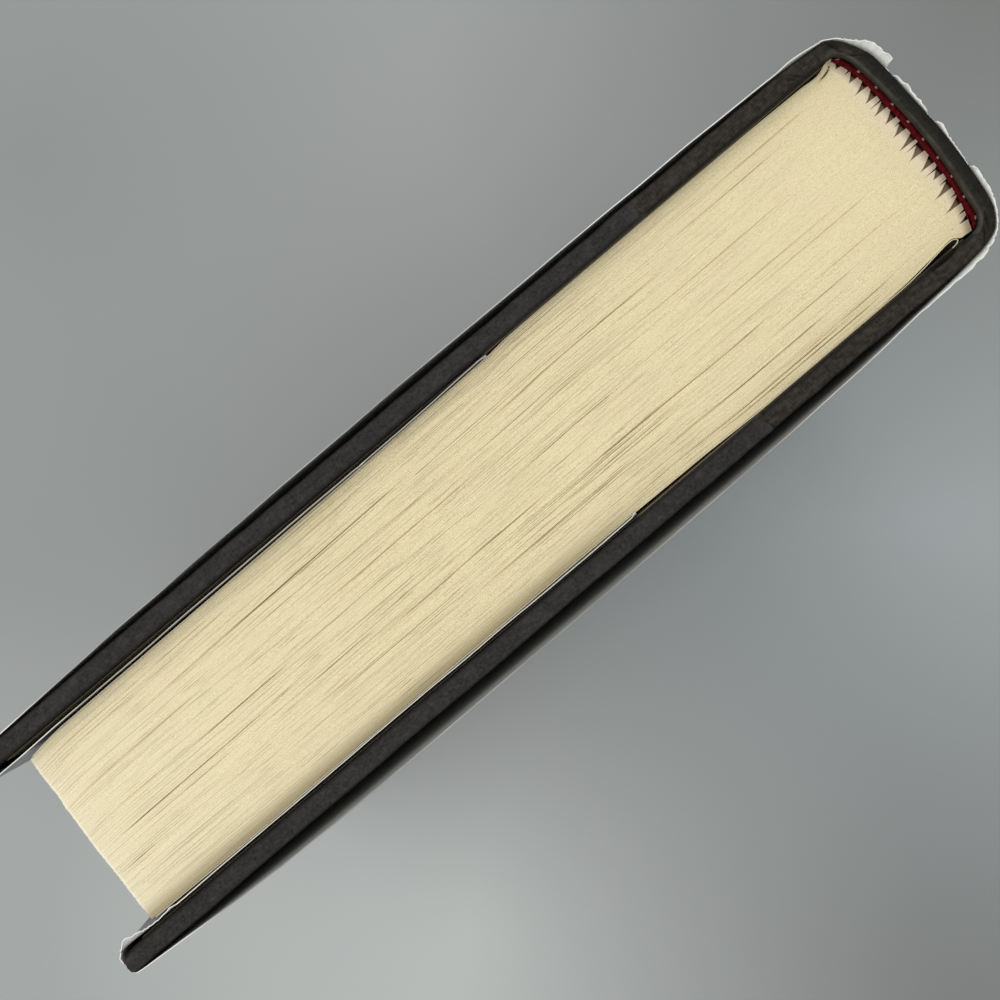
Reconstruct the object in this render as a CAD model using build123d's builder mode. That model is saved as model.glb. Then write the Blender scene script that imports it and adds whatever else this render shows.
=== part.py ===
"""Hardback book: sewn signatures in a three-piece case, wrapped in a paper dust jacket.

Millimetres. The closed book stands on its tail, as on a shelf. X runs from the back to the
fore-edge, Y from the front cover to the rear cover, and Z up to the head. The origin is the middle
of the footprint. In plan, outlines are drawn from the block's front shoulder: x is the distance
from there towards the fore-edge, and y the distance from the block's middle leaf.
"""

import os

from build123d import *

FRONT = -1
REAR = 1

# Pages: 15 folded signatures, sewn through their folds and swollen at the back by the thread.
page_width = 140.0
page_height = 210.0
back_thickness = 29.15
front_taper = 1.15
rear_taper = 0.6
lean = 1.6
fore_bulge = 0.15
round_back = 2.15
back_fullness = 3.5
notch_mouth = 1.05
notch_depth = 2.6
notch_rear_share = 0.2
notch_curve_share = 0.35
fold_rise = 0.15

# Where the sewn signatures part, as shares of the thickness at the back.
notch_shares = (0.045, 0.13, 0.19, 0.25, 0.32, 0.38, 0.45, 0.515, 0.58, 0.65, 0.715, 0.79, 0.87, 0.945)

# The block's faces swell where the jacket's flaps end. Each taper is a share of the way from that
# place to the fore-edge, then a share of the whole taper.
front_swell_run = 8.3
front_swell_near = 2.2
front_swell_share = 0.06
front_taper_shares = ((0.15, 0.68), (0.57, 0.85), (1.0, 1.0))
front_step_share = 0.56
rear_swell_run = 21.0
rear_swell_near = 5.8
rear_taper_shares = ((0.8, 0.55), (1.0, 1.0))
rear_step_share = 0.5
fore_lean_share = 0.25

# Endpapers: folded sheets of which one half is pasted to the board and the other turns freely.
endpaper_sheet = 0.12
endpaper_clearance = 0.06
leaf_seat = 0.02
pastedown_inset = 3.5
pastedown_joint = 0.6
curl_depth = 0.8
curl_from_back = 3.1
curl_width = 9.0
curl_lip = 0.6
curl_tuck_share = 0.35

# Boards and what covers them.
board_card = 2.35
covering = 0.2
joint_reach = 1.05
fore_square = 6.8
head_square = 3.2
turn_in = 15.0
front_cloth_lap = 32.0
rear_cloth_lap = 38.0
joint_corner = 0.4
front_bevel_run = 6.0
front_bevel_drop = 0.55
rear_bevel_run = 3.0
rear_bevel_drop = 0.35
fore_corner = 0.9
turned_edge = 0.45

# Spine lining and headbands, glued to the sewn back.
glue_line = 0.06
lining_sheet = 0.3
band_bead = 1.15
bead_sides = 12
bead_seat = 0.12
band_tape = 0.3
band_tape_height = 9.0
band_rise = 0.35
band_margin = 0.9
back_point_shares = (-1.0, -0.75, -0.4, 0.0, 0.4, 0.75, 1.0)

# The spine of the case stands off the sewn back, so the back is hollow.
hollow_gap = 0.25
spine_cloth_sheet = 0.25
spine_card = 1.2
spine_card_margin = 0.3
spine_bow = 0.65
spine_inner_bow = 1.05
front_spine_edge = 1.55
rear_spine_edge = 2.2
spine_rear_step = 0.3
front_joint_drop = 0.65
rear_joint_drop = 0.45
joint_inner = 0.15
joint_skin = 0.75
rear_round_out = 1.5
rear_round_side = 3.0

# Dust jacket: one printed sheet, bowed off the boards, with a flap folded in round each fore-edge.
jacket_sheet = 0.16
jacket_gap = 0.12
front_bow = 1.05
rear_bow = 1.85
front_flap = 87.0
rear_flap = 90.0
front_flap_stand = 0.3
rear_flap_stand = 0.0
jacket_fold = 0.7
jacket_foot = 0.5
jacket_head_drop = 0.2

# The covers hinge where the cloth bends, at the outer face of each board's spine edge.
hinge_clearance = 0.05
overrun = 5.0

half_back = back_thickness / 2
case_height = page_height + 2 * head_square
cover_inner = half_back + 2 * endpaper_sheet + endpaper_clearance
cover_outer = cover_inner + board_card + 2 * covering
pasted_face = cover_inner - endpaper_sheet
fore_front = page_width - fore_lean_share * lean
fore_rear = fore_front + lean
back_lean = fore_lean_share * lean

cover_start = {FRONT: -joint_reach, REAR: lean - joint_reach}
cover_end = {FRONT: fore_front + fore_square, REAR: fore_rear + fore_square}
cloth_lap = {FRONT: front_cloth_lap, REAR: rear_cloth_lap}
jacket_bow = {FRONT: front_bow, REAR: rear_bow}
flap_length = {FRONT: front_flap, REAR: rear_flap}
flap_stand = {FRONT: front_flap_stand, REAR: rear_flap_stand}
block_taper = {FRONT: front_taper, REAR: rear_taper}
taper_shares = {FRONT: front_taper_shares, REAR: rear_taper_shares}
bevel_run = {FRONT: front_bevel_run, REAR: rear_bevel_run}
bevel_drop = {FRONT: front_bevel_drop, REAR: rear_bevel_drop}
side_name = {FRONT: "front", REAR: "rear"}

spine_inner_crown = -(round_back + glue_line + band_bead + hollow_gap)
spine_outer_crown = spine_inner_crown - spine_card - 2 * spine_cloth_sheet
spine_front_x = spine_outer_crown + spine_bow
spine_rear_x = spine_front_x + spine_rear_step
spine_front_y = -(half_back - front_spine_edge)
spine_rear_y = half_back - rear_spine_edge

jacket_back = -(spine_outer_crown - jacket_gap - jacket_sheet)
jacket_fore = cover_end[REAR] + jacket_gap + jacket_sheet
middle_x = (jacket_fore - jacket_back) / 2
middle_y = (rear_bow - front_bow) / 2


def plan(height):
    """A level drawing plane, set so that the footprint's middle is the origin."""
    return Plane(origin=(-middle_x, -middle_y, height))


def back_x(y):
    """Where the folded backs lie: a flat-topped round that leans a little towards the rear."""
    across = y / half_back
    return back_lean * (across + 1) / 2 - round_back * (1 - abs(across) ** back_fullness)


def block_face(side, stations, fore_x, out):
    """Points along a face of the block, from stations of place and inset, moved out by a distance."""
    flap_end = cover_end[side] - flap_length[side]
    taper = block_taper[side]
    joint_end = [(flap_end - run, side * (half_back - share * taper + out)) for run, share in stations]
    fore_end = [
        (flap_end + along * (fore_x - flap_end), side * (half_back - share * taper + out))
        for along, share in taper_shares[side]
    ]
    return joint_end + fore_end


def front_face(out=0):
    """The block's front face from the shoulder to the fore-edge, moved out by a distance."""
    stations = ((front_swell_run, front_swell_share), (front_swell_near, front_step_share))
    return [(0, -(half_back + out)), *block_face(FRONT, stations, fore_front, out)]


def rear_face(out=0):
    """The straight part of the rear face, moved out by a distance."""
    stations = ((rear_swell_run, 0), (rear_swell_near, rear_step_share))
    return block_face(REAR, stations, fore_rear, out)


def rear_curl(out=0):
    """The hollow by the rear joint where the last leaves curl off the board, as two curves."""
    level = half_back + out
    deep = level - curl_depth
    start = (curl_from_back + curl_width, level)
    bottom = (curl_from_back, deep)
    Line(rear_face(out)[0], start)
    Spline(start, bottom, tangents=((-1, 0), (-1, 0)))
    return bottom


def sewn_back():
    """The folded backs, front to rear: folds that lean to the front, with a notch behind each."""
    edges = [-half_back + share * back_thickness for share in (0, *notch_shares, 1)]
    before = notch_mouth * (1 - notch_rear_share)
    behind = notch_mouth * notch_rear_share
    last = len(edges) - 2
    here = (0, -half_back)
    for number, (low, high) in enumerate(zip(edges, edges[1:])):
        if number == last:
            middle = (low + high) / 2
            ThreePointArc(here, (back_x(middle), middle), (back_lean, half_back))
            break
        lip = (back_x(high - before) + fold_rise, high - before)
        middle = (here[1] + lip[1]) / 2
        ThreePointArc(here, (back_x(middle), middle), lip)
        tip = (back_x(high) + notch_depth, high)
        halfway = (lip[0] + tip[0]) / 2
        ThreePointArc(lip, (halfway, high - before * notch_curve_share), tip)
        here = (back_x(high + behind) + fold_rise, high + behind)
        ThreePointArc(tip, (halfway, high + behind * notch_curve_share), here)


def back_points(distance):
    """Points along the sewn back, front to rear, at a distance from it."""
    reach = half_back - band_margin
    return [(back_x(share * reach) - distance, share * reach) for share in back_point_shares]


def back_band(near, far):
    """A strip that follows the sewn back between two distances from it."""
    inner = back_points(near)
    outer = back_points(far)
    with BuildSketch() as strip:
        with BuildLine():
            Spline(*inner)
            Spline(*outer)
            Line(inner[0], outer[0])
            Line(inner[-1], outer[-1])
        make_face()
    return strip.sketch


def rectangle(x_from, x_to, y_from, y_to):
    """A plan rectangle between four named faces."""
    with BuildSketch() as shape:
        with BuildLine():
            Polyline((x_from, y_from), (x_to, y_from), (x_to, y_to), (x_from, y_to), close=True)
        make_face()
    return shape.sketch


def raise_plan(shape, z_from, z_to, mode=Mode.ADD):
    """Extrude a plan outline between two heights."""
    extrude(plan(z_from) * shape, amount=z_to - z_from, mode=mode)


def save(piece, name):
    """Label a finished piece and write it."""
    piece.part.label = name
    export_step(piece.part, f"parts/{name}.step")


os.makedirs("parts", exist_ok=True)

page_foot = head_square
page_top = head_square + page_height

# The sewn block
with BuildPart() as text_block:
    with BuildSketch(plan(page_foot)):
        with BuildLine():
            Polyline(*front_face())
            sewn_back()
            bottom = rear_curl()
            tuck = (curl_from_back / 2, half_back - curl_depth * curl_tuck_share)
            ThreePointArc(bottom, tuck, (back_lean, half_back))
            Polyline(*rear_face())
            fore_front_corner = front_face()[-1]
            fore_rear_corner = rear_face()[-1]
            fore_middle = ((fore_front + fore_rear) / 2 + fore_bulge, 0)
            ThreePointArc(fore_front_corner, fore_middle, fore_rear_corner)
        make_face()
    extrude(amount=page_height)
save(text_block, "text_block")

# The lining is glued over the sewing, between the tapes of the two bands.
with BuildPart() as spine_lining:
    lining = back_band(glue_line, glue_line + lining_sheet)
    raise_plan(lining, page_foot + band_tape_height, page_top - band_tape_height)
save(spine_lining, "spine_lining")


def end_band(tape_from, tape_to, bead_height):
    """A woven band: a bead along the end of the back, on a tape glued to the back."""
    radius = (band_bead - bead_seat) / 2
    with BuildPart() as band:
        with BuildLine(plan(bead_height)) as run:
            Spline(*back_points(glue_line + bead_seat + radius))
        with BuildSketch(Plane(origin=run.line @ 0, z_dir=run.line % 0)):
            RegularPolygon(radius, bead_sides)
        sweep()
        raise_plan(back_band(glue_line, glue_line + band_tape), tape_from, tape_to)
    return band


headband = end_band(page_top - band_tape_height, page_top, page_top - band_bead / 2 + band_rise)
save(headband, "headband")
tailband = end_band(page_foot, page_foot + band_tape_height, page_foot + band_bead / 2 - band_rise)
save(tailband, "tailband")

# The free halves of the endpapers lie on the block's two faces.
with BuildPart() as front_flyleaf:
    with BuildSketch(plan(page_foot)):
        near = front_face(leaf_seat)
        far = front_face(leaf_seat + endpaper_sheet)
        with BuildLine():
            Polyline(*near)
            Polyline(*far)
            Line(near[0], far[0])
            Line(near[-1], far[-1])
        make_face()
    extrude(amount=page_height)
save(front_flyleaf, "front_flyleaf")

with BuildPart() as rear_flyleaf:
    with BuildSketch(plan(page_foot)):
        near = rear_face(leaf_seat)
        far = rear_face(leaf_seat + endpaper_sheet)
        with BuildLine():
            Polyline(*near)
            near_bottom = rear_curl(leaf_seat)
            Polyline(*far)
            far_bottom = rear_curl(leaf_seat + endpaper_sheet)
            near_lip = (near_bottom[0] - curl_lip, near_bottom[1] + curl_lip)
            far_lip = (far_bottom[0] - curl_lip, far_bottom[1] + curl_lip)
            Line(near_bottom, near_lip)
            Line(far_bottom, far_lip)
            Line(near_lip, far_lip)
            Line(near[-1], far[-1])
        make_face()
    extrude(amount=page_height)
save(rear_flyleaf, "rear_flyleaf")


def case_spine_outer():
    """The outer face of the spine cloth, from the front hinge round to the rear hinge."""
    front_end = (cover_start[FRONT] - hinge_clearance, -(cover_outer - front_joint_drop))
    rear_end = (cover_start[REAR] - hinge_clearance, cover_outer - rear_joint_drop)
    front_turn = (spine_front_x, spine_front_y)
    rear_turn = (spine_rear_x, spine_rear_y)
    Line(front_end, front_turn)
    ThreePointArc(front_turn, (spine_outer_crown, 0), rear_turn)
    rear_middle = (spine_rear_x + rear_round_out, spine_rear_y + rear_round_side)
    ThreePointArc(rear_turn, rear_middle, rear_end)
    return front_end, rear_end


def case_spine_inner(front_end_x, rear_end_x):
    """The inner face of the spine's turned-in ends, from hinge to hinge."""
    front_turn = (spine_inner_crown + spine_inner_bow, spine_front_y + spine_card_margin)
    rear_turn = (front_turn[0] + spine_rear_step, spine_rear_y)
    front_end = (front_end_x, -(cover_inner + joint_inner))
    rear_end = (rear_end_x, cover_inner + joint_inner)
    Line(front_end, front_turn)
    ThreePointArc(front_turn, (spine_inner_crown, 0), rear_turn)
    turn_x = (rear_turn[0] + rear_end_x) / 2 - spine_rear_step
    turn_y = (rear_turn[1] + rear_end[1]) / 2 + spine_card_margin
    ThreePointArc(rear_turn, (turn_x, turn_y), rear_end)
    return front_end, rear_end


def inlay_ends(depth):
    """The two ends of an arc inside the spine, at a depth from its outer face."""
    front = (spine_front_x + depth, spine_front_y + spine_card_margin)
    rear = (spine_rear_x + depth, spine_rear_y - spine_card_margin)
    return front, rear


def inlay_outline():
    """The card strip inside the spine, bowed as the cloth over it."""
    with BuildSketch() as strip:
        near = spine_cloth_sheet
        far = spine_cloth_sheet + spine_card
        near_front, near_rear = inlay_ends(near)
        far_front, far_rear = inlay_ends(far)
        with BuildLine():
            ThreePointArc(near_front, (spine_outer_crown + near, 0), near_rear)
            ThreePointArc(far_front, (spine_outer_crown + far, 0), far_rear)
            Line(near_front, far_front)
            Line(near_rear, far_rear)
        make_face()
    return strip.sketch


with BuildPart() as spine_inlay:
    raise_plan(inlay_outline(), spine_cloth_sheet, case_height - spine_cloth_sheet)
save(spine_inlay, "spine_inlay")

# One strip of cloth makes the spine and both joints. It is turned in over the inlay at the head
# and the tail, and between the turn-ins the inlay's inner face is bare and the joints are thin.
with BuildPart() as spine_cloth:
    with BuildSketch() as band:
        with BuildLine():
            front_out, rear_out = case_spine_outer()
            front_in, rear_in = case_spine_inner(front_out[0], rear_out[0])
            Line(front_out, front_in)
            Line(rear_out, rear_in)
        make_face()
    with BuildSketch(mode=Mode.PRIVATE) as bare:
        front_card, rear_card = inlay_ends(spine_cloth_sheet + spine_card)
        front_skin = (front_out[0] + overrun, front_out[1] + joint_skin)
        rear_skin = (rear_out[0] + overrun, rear_out[1] - joint_skin)
        front_start = (front_out[0], front_skin[1])
        rear_start = (rear_out[0], rear_skin[1])
        rear_bend = (
            spine_rear_x + rear_round_out + joint_skin,
            spine_rear_y + rear_round_side - joint_skin,
        )
        with BuildLine():
            Line(front_skin, front_start)
            Line(front_start, front_card)
            ThreePointArc(front_card, (spine_outer_crown + spine_cloth_sheet + spine_card, 0), rear_card)
            ThreePointArc(rear_card, rear_bend, rear_start)
            Line(rear_start, rear_skin)
            Line(rear_skin, front_skin)
        make_face()
    raise_plan(band.sketch, 0, case_height)
    raise_plan(inlay_outline(), spine_cloth_sheet, case_height - spine_cloth_sheet, Mode.SUBTRACT)
    raise_plan(bare.sketch, turn_in, case_height - turn_in, Mode.SUBTRACT)
save(spine_cloth, "spine_cloth")


def joint_edge(side, y_out):
    """The bevelled outer corner of a board beside the joint: its two ends, out to in."""
    x_from = cover_start[side]
    return (x_from + bevel_run[side], y_out), (x_from, y_out - side * bevel_drop[side])


def joint_end_outline(side, x_to, skin=0):
    """The plan of a covered board from the joint, or of what lies a skin's depth inside it."""
    x_from = cover_start[side] + hinge_clearance + skin
    y_in = side * (cover_inner + skin)
    y_out = side * (cover_outer - skin)
    bevel_end, corner = joint_edge(side, y_out)
    with BuildSketch() as shape:
        with BuildLine():
            Polyline((x_from, y_in), (x_to, y_in), (x_to, y_out), bevel_end, (x_from, corner[1]), close=True)
        make_face()
        joint_vertices = vertices().group_by(Axis.X)[0].sort_by(Axis.Y)
        fillet(joint_vertices[0 if side == FRONT else -1], joint_corner - skin)
    return shape.sketch


def fore_end_outline(side, x_from, skin=0):
    """The plan of a covered board up to the fore-edge, where both corners are rubbed round."""
    x_to = cover_end[side] - skin
    y_in = side * (cover_inner + skin)
    y_out = side * (cover_outer - skin)
    with BuildSketch() as shape:
        add(rectangle(x_from, x_to, y_in, y_out))
        fillet(vertices().group_by(Axis.X)[-1], fore_corner - skin)
    return shape.sketch


def board(side):
    """A board of grey card, bevelled at the joint and eased at the fore-edge."""
    seam = cover_start[side] + cloth_lap[side]
    with BuildPart() as card:
        raise_plan(joint_end_outline(side, seam, covering), covering, case_height - covering)
        raise_plan(fore_end_outline(side, seam, covering), covering, case_height - covering)
    return card


def turned_rims(seam_side):
    """The head and tail edges that the covering is drawn over, but not those at the seam."""
    rims = faces().filter_by(Axis.Z).edges()
    seam_rims = rims.group_by(Axis.X)[seam_side]
    return ShapeList(rim for rim in rims if rim not in seam_rims)


def cloth_strip(side):
    """The spine cloth where it laps onto a board, turned in at the head and the tail."""
    x_from = cover_start[side] + hinge_clearance
    seam = cover_start[side] + cloth_lap[side]
    above = side * (cover_inner - overrun)
    bed = side * (cover_inner + covering)
    with BuildPart() as cloth:
        raise_plan(joint_end_outline(side, seam), 0, case_height)
        fillet(turned_rims(-1).filter_by(Axis.X), turned_edge)
        add(board(side).part, mode=Mode.SUBTRACT)
        bare = rectangle(x_from + covering, seam + overrun, above, bed)
        raise_plan(bare, turn_in, case_height - turn_in, Mode.SUBTRACT)
    return cloth


def side_paper(side):
    """The paper on the rest of a board, turned in at the head, the tail and the fore-edge."""
    seam = cover_start[side] + cloth_lap[side]
    above = side * (cover_inner - overrun)
    bed = side * (cover_inner + covering)
    with BuildPart() as paper:
        raise_plan(fore_end_outline(side, seam), 0, case_height)
        fillet(turned_rims(0), turned_edge)
        add(board(side).part, mode=Mode.SUBTRACT)
        bare = rectangle(seam - overrun, cover_end[side] - turn_in, above, bed)
        raise_plan(bare, turn_in, case_height - turn_in, Mode.SUBTRACT)
    return paper


def pastedown(side):
    """The pasted half of an endpaper. It steps down from the turn-ins to the bare board."""
    x_from = cover_start[side] + pastedown_joint
    x_to = cover_end[side] - pastedown_inset
    face = side * cover_inner
    free = side * pasted_face
    bed = side * (cover_inner + covering)
    sunk = side * (cover_inner + covering - endpaper_sheet)
    above = side * (cover_inner - overrun)
    low = turn_in
    high = case_height - turn_in
    step_to = cover_end[side] - turn_in
    with BuildPart() as sheet:
        raise_plan(
            rectangle(x_from, x_to, face, free),
            pastedown_inset,
            case_height - pastedown_inset,
        )
        raise_plan(rectangle(x_from, step_to, free, bed), low, high)
        pocket = rectangle(x_from - overrun, step_to - endpaper_sheet, above, sunk)
        raise_plan(pocket, low + endpaper_sheet, high - endpaper_sheet, Mode.SUBTRACT)
    return sheet


def jacket_region(side):
    """What a jacket panel is wrapped round: the covered board, the pastedown and the bow."""
    x_from = cover_start[side]
    x_to = cover_end[side]
    near = side * (pasted_face - flap_stand[side])
    far = side * cover_outer
    bevel_end, corner = joint_edge(side, far)
    middle = ((bevel_end[0] + x_to) / 2, side * (cover_outer + jacket_bow[side]))
    with BuildSketch() as region:
        with BuildLine():
            Line((x_from, near), corner)
            Line(corner, bevel_end)
            ThreePointArc(bevel_end, middle, (x_to, far))
            Line((x_to, far), (x_to, near))
            Line((x_to, near), (x_from, near))
        make_face()
        joint_vertices = vertices().group_by(Axis.X)[0].sort_by(Axis.Y)
        fillet(joint_vertices[0 if side == FRONT else -1], joint_corner)
        fillet(vertices().group_by(Axis.X)[-1], jacket_fold)
    return region.sketch


def sheet_round(region):
    """The jacket's sheet round a plan region, a small gap off it."""
    with BuildSketch() as ring:
        add(offset(region, amount=jacket_gap + jacket_sheet, mode=Mode.PRIVATE))
        add(offset(region, amount=jacket_gap, mode=Mode.PRIVATE), mode=Mode.SUBTRACT)
    return ring.sketch


jacket_top = case_height - jacket_head_drop


def jacket_panel(side):
    """A cover's part of the jacket: the panel, the fold round the fore-edge, and the flap."""
    x_from = cover_start[side]
    flap_end = cover_end[side] - flap_length[side]
    beyond = x_from - overrun
    y_reach = side * (cover_outer + jacket_bow[side] + overrun)
    y_board = side * (cover_inner + covering)
    y_inside = side * (pasted_face - overrun)
    with BuildPart() as panel:
        with BuildSketch() as sheet:
            add(sheet_round(jacket_region(side)))
            past_hinge = rectangle(beyond, x_from + hinge_clearance, y_reach, y_inside)
            add(past_hinge, mode=Mode.SUBTRACT)
            add(rectangle(beyond, flap_end, y_board, y_inside), mode=Mode.SUBTRACT)
        raise_plan(sheet.sketch, jacket_foot, jacket_top)
    return panel


for side in (FRONT, REAR):
    name = side_name[side]
    save(board(side), f"{name}_board")
    save(cloth_strip(side), f"{name}_cloth_strip")
    save(side_paper(side), f"{name}_side_paper")
    save(pastedown(side), f"{name}_pastedown")
    save(jacket_panel(side), f"jacket_{name}")

# The jacket over the spine, between the two hinges.
with BuildPart() as jacket_spine:
    with BuildSketch() as spine_region:
        with BuildLine():
            spine_start, spine_end = case_spine_outer()
            Line(spine_end, spine_start)
        make_face()
    reach = cover_outer + overrun
    with BuildSketch() as inside:
        with BuildLine():
            Polyline(
                (spine_start[0], -reach),
                (spine_end[0] + overrun, -reach),
                (spine_end[0] + overrun, reach),
                (spine_end[0], reach),
                (spine_end[0], pasted_face),
                (spine_start[0], -pasted_face),
                close=True,
            )
        make_face()
    with BuildSketch() as sheet:
        add(sheet_round(spine_region.sketch))
        add(inside.sketch, mode=Mode.SUBTRACT)
    raise_plan(sheet.sketch, jacket_foot, jacket_top)
save(jacket_spine, "jacket_spine")
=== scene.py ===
"""Looks of the hardback book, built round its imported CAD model. Lengths are written in millimetres
in the book's plan: x runs from the block's front shoulder to the fore-edge, y from the middle leaf
to the rear cover, and z up from the covers' tail edges. placed() turns them into the frame."""

import math

import bpy
import numpy as np
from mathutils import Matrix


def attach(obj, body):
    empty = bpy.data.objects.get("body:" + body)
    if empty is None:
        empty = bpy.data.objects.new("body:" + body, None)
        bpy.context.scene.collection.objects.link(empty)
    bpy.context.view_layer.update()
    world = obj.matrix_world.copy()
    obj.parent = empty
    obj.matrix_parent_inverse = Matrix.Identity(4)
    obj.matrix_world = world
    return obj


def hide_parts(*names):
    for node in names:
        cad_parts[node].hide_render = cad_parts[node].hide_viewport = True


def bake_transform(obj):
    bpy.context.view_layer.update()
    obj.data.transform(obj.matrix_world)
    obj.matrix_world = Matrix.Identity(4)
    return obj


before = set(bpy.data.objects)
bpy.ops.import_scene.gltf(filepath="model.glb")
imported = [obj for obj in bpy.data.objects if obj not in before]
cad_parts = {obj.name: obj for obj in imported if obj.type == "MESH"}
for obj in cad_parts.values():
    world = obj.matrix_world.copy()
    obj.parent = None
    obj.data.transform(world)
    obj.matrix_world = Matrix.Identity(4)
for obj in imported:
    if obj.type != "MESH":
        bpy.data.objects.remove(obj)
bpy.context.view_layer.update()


# Text block. About 240 leaves of cream book paper in fifteen folded signatures, sewn through the
# folds and trimmed at head, tail and fore-edge. V-shaped gaps open between the folds at the back,
# and along the head single leaves stand a hair apart or a hair proud.
footprint_middle = (71.345, 0.4)
page_foot = 3.2
page_height = 210.0
page_top = page_foot + page_height
back_half = 14.575
end_swelling = 0.72

# Gaps between the folds: the place as a share of the thickness, the depth, and the width to the
# front of the tip. To the rear every gap is as narrow as notch_rear.
notches = (
    (0.045, 1.2, 1.0), (0.13, 1.7, 1.0), (0.19, 2.5, 0.8), (0.25, 2.3, 1.15), (0.32, 2.75, 1.1),
    (0.38, 2.2, 1.15), (0.45, 2.5, 1.2), (0.515, 3.3, 0.95), (0.58, 2.8, 1.4), (0.65, 2.7, 1.1),
    (0.715, 1.9, 1.35), (0.79, 3.4, 1.1), (0.87, 3.0, 0.95), (0.945, 1.6, 0.5),
)
notch_rear = 0.13

# Slits inside a signature: the layer, counted from the middle leaf, and the depth.
slits = (
    (-12.0, 1.2), (-6.35, 3.0), (-2.5, 1.6), (1.15, 3.2), (5.3, 3.0), (7.35, 2.0), (9.55, 1.3),
    (11.9, 1.4),
)
slit_width = 0.13

# Open gaps between leaves along the head: from x, to x, layer at each end, and darkness, which sets
# the sink and the painted shade.
head_gaps = (
    (136, 106, -11.3, -12.1, 0.6), (139.9, 134, -10.95, -11.1, 0.7),
    (139.4, 118, -12.5, -12.6, 0.5), (122, 110, -12.7, -12.7, 0.5),
    (124, 100, -9.15, -9.35, 0.6), (112, 78, -9.3, -9.6, 1.0),
    (139.9, 121, -5.55, -5.75, 0.6), (127, 116, -5.7, -5.85, 0.7),
    (137, 128, -0.75, -0.8, 0.6), (124, 105, -0.4, -0.6, 0.9),
    (137.5, 121, 2.6, 2.4, 1.0), (125, 104, 2.45, 2.25, 0.7),
    (131, 120, 3.6, 3.55, 0.4), (111, 95, 3.65, 3.6, 0.6),
    (139.9, 136.6, 6.75, 6.6, 1.0), (136.6, 135.2, 6.65, 7.4, 0.6),
    (134, 131.4, 7.9, 7.95, 0.9), (123, 118.5, 6.85, 6.85, 0.7),
    (107.5, 99, 6.6, 6.55, 0.6), (98, 70, -3.6, -3.7, 0.6),
    (93, 64, 4.9, 4.8, 0.8), (88, 71, -6.1, -6.2, 0.5),
    (80, 52, 9.0, 8.95, 0.8), (74, 42, 7.3, 7.2, 0.6),
    (68, 50, 0.3, 0.3, 0.6), (66, 34, -7.9, -8.0, 0.7),
    (60, 26, 6.0, 5.9, 0.8), (52, 20, 10.6, 10.6, 0.8),
    (44, 14, -4.6, -4.6, 0.5), (36, 9, 0.5, 0.55, 0.5),
    (30, 12, -10.3, -10.3, 0.5), (22, 5, -12.0, -12.1, 0.5),
    (24, 6, 2.0, 2.1, 0.4), (20, 4, 6.2, 6.35, 0.45),
    (27, 15, 8.3, 8.3, 0.6), (30, 10, 12.6, 12.5, 0.6),
    (44, 14, 13.6, 13.5, 0.9), (60, 18, 13.1, 13.0, 0.7),
)
gap_half_width = 0.05
gap_sink = 0.9
edge_reach = 1.2
wander_cells = 8192


def together(*parts):
    """Grids spread over one another and joined as the parts of one point, direction or place."""
    return np.stack(np.broadcast_arrays(*parts), axis=-1)


def placed(x, y, z):
    """Plan distances and a height in millimetres as points of the object's frame in metres: the
    middle of the footprint becomes the origin."""
    return together(x - footprint_middle[0], y - footprint_middle[1], z) * 0.001


def wander(t, pitch, seed):
    """Smooth random values from -1 to 1 along t: random heights one pitch apart, joined by half
    waves of a cosine."""
    heights = np.random.default_rng(seed).uniform(-1, 1, wander_cells)
    step = np.asarray(t, float) / pitch
    cell = np.floor(step).astype(int)
    ease = (1 - np.cos(np.pi * (step - cell))) / 2
    return heights[cell % wander_cells] * (1 - ease) + heights[(cell + 1) % wander_cells] * ease


def smooth(t):
    """An S-shaped rise from 0 to 1, three t squared less two t cubed, level outside that range."""
    t = np.clip(t, 0, 1)
    return t * t * (3 - 2 * t)


def bell(distance, width):
    """A bell curve: e to the power of less the square of the distance over the width."""
    return np.exp(-((distance / width) ** 2))


def back_at(y):
    """Where the folded backs lie: a round that is flat in the middle and leans to the rear."""
    across = np.asarray(y) / back_half
    return 0.2 * (across + 1) - 2.15 * (1 - np.abs(across) ** 3.5)


def swelling_at(end):
    """How far the backs swell out at a distance from the block's end: fully within 2.5 of it, and
    no more from 8.5 on."""
    return end_swelling * smooth((8.5 - end) / 6)


def front_inset(x):
    """How far the front face lies inside the back's thickness, in two parts: the taper of the whole
    block from the end of the jacket's flap, and the bend of the first leaves off the joint."""
    at = (30.0, 51.1, 56.5, 59.0, 62.0, 75.0, 105.1, 136.0, 139.6)
    taper = np.interp(x, at, (0.0, 0.02, 0.06, 0.3, 0.38, 0.58, 0.86, 1.06, 1.61))
    at = (-1.2, 0.2, 0.7, 1.3, 2.2, 3.2, 4.3, 7.3, 13.4, 30.0)
    return taper, np.interp(x, at, (-0.2, -0.18, 0.05, 0.32, 0.46, 0.4, 0.27, 0.22, 0.1, 0.04))


def rear_inset(x):
    """The same for the rear face, where the last leaves curl off the board by the joint."""
    taper = np.interp(x, (37.0, 45.0, 57.5, 124.6, 141.2), (0, 0.3, 0.48, 0.56, 0.8))
    at = (-0.8, 0.6, 1.2, 1.55, 1.75, 2.1, 2.6, 3.4, 4.8, 6.1, 7.5, 10.3, 13.0, 16.0)
    curl = (-0.15, 0.0, 0.03, 0.25, 0.5, 0.7, 0.8, 0.79, 0.62, 0.5, 0.4, 0.16, 0.05, 0.0)
    return taper, np.interp(x, at, curl)


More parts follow.
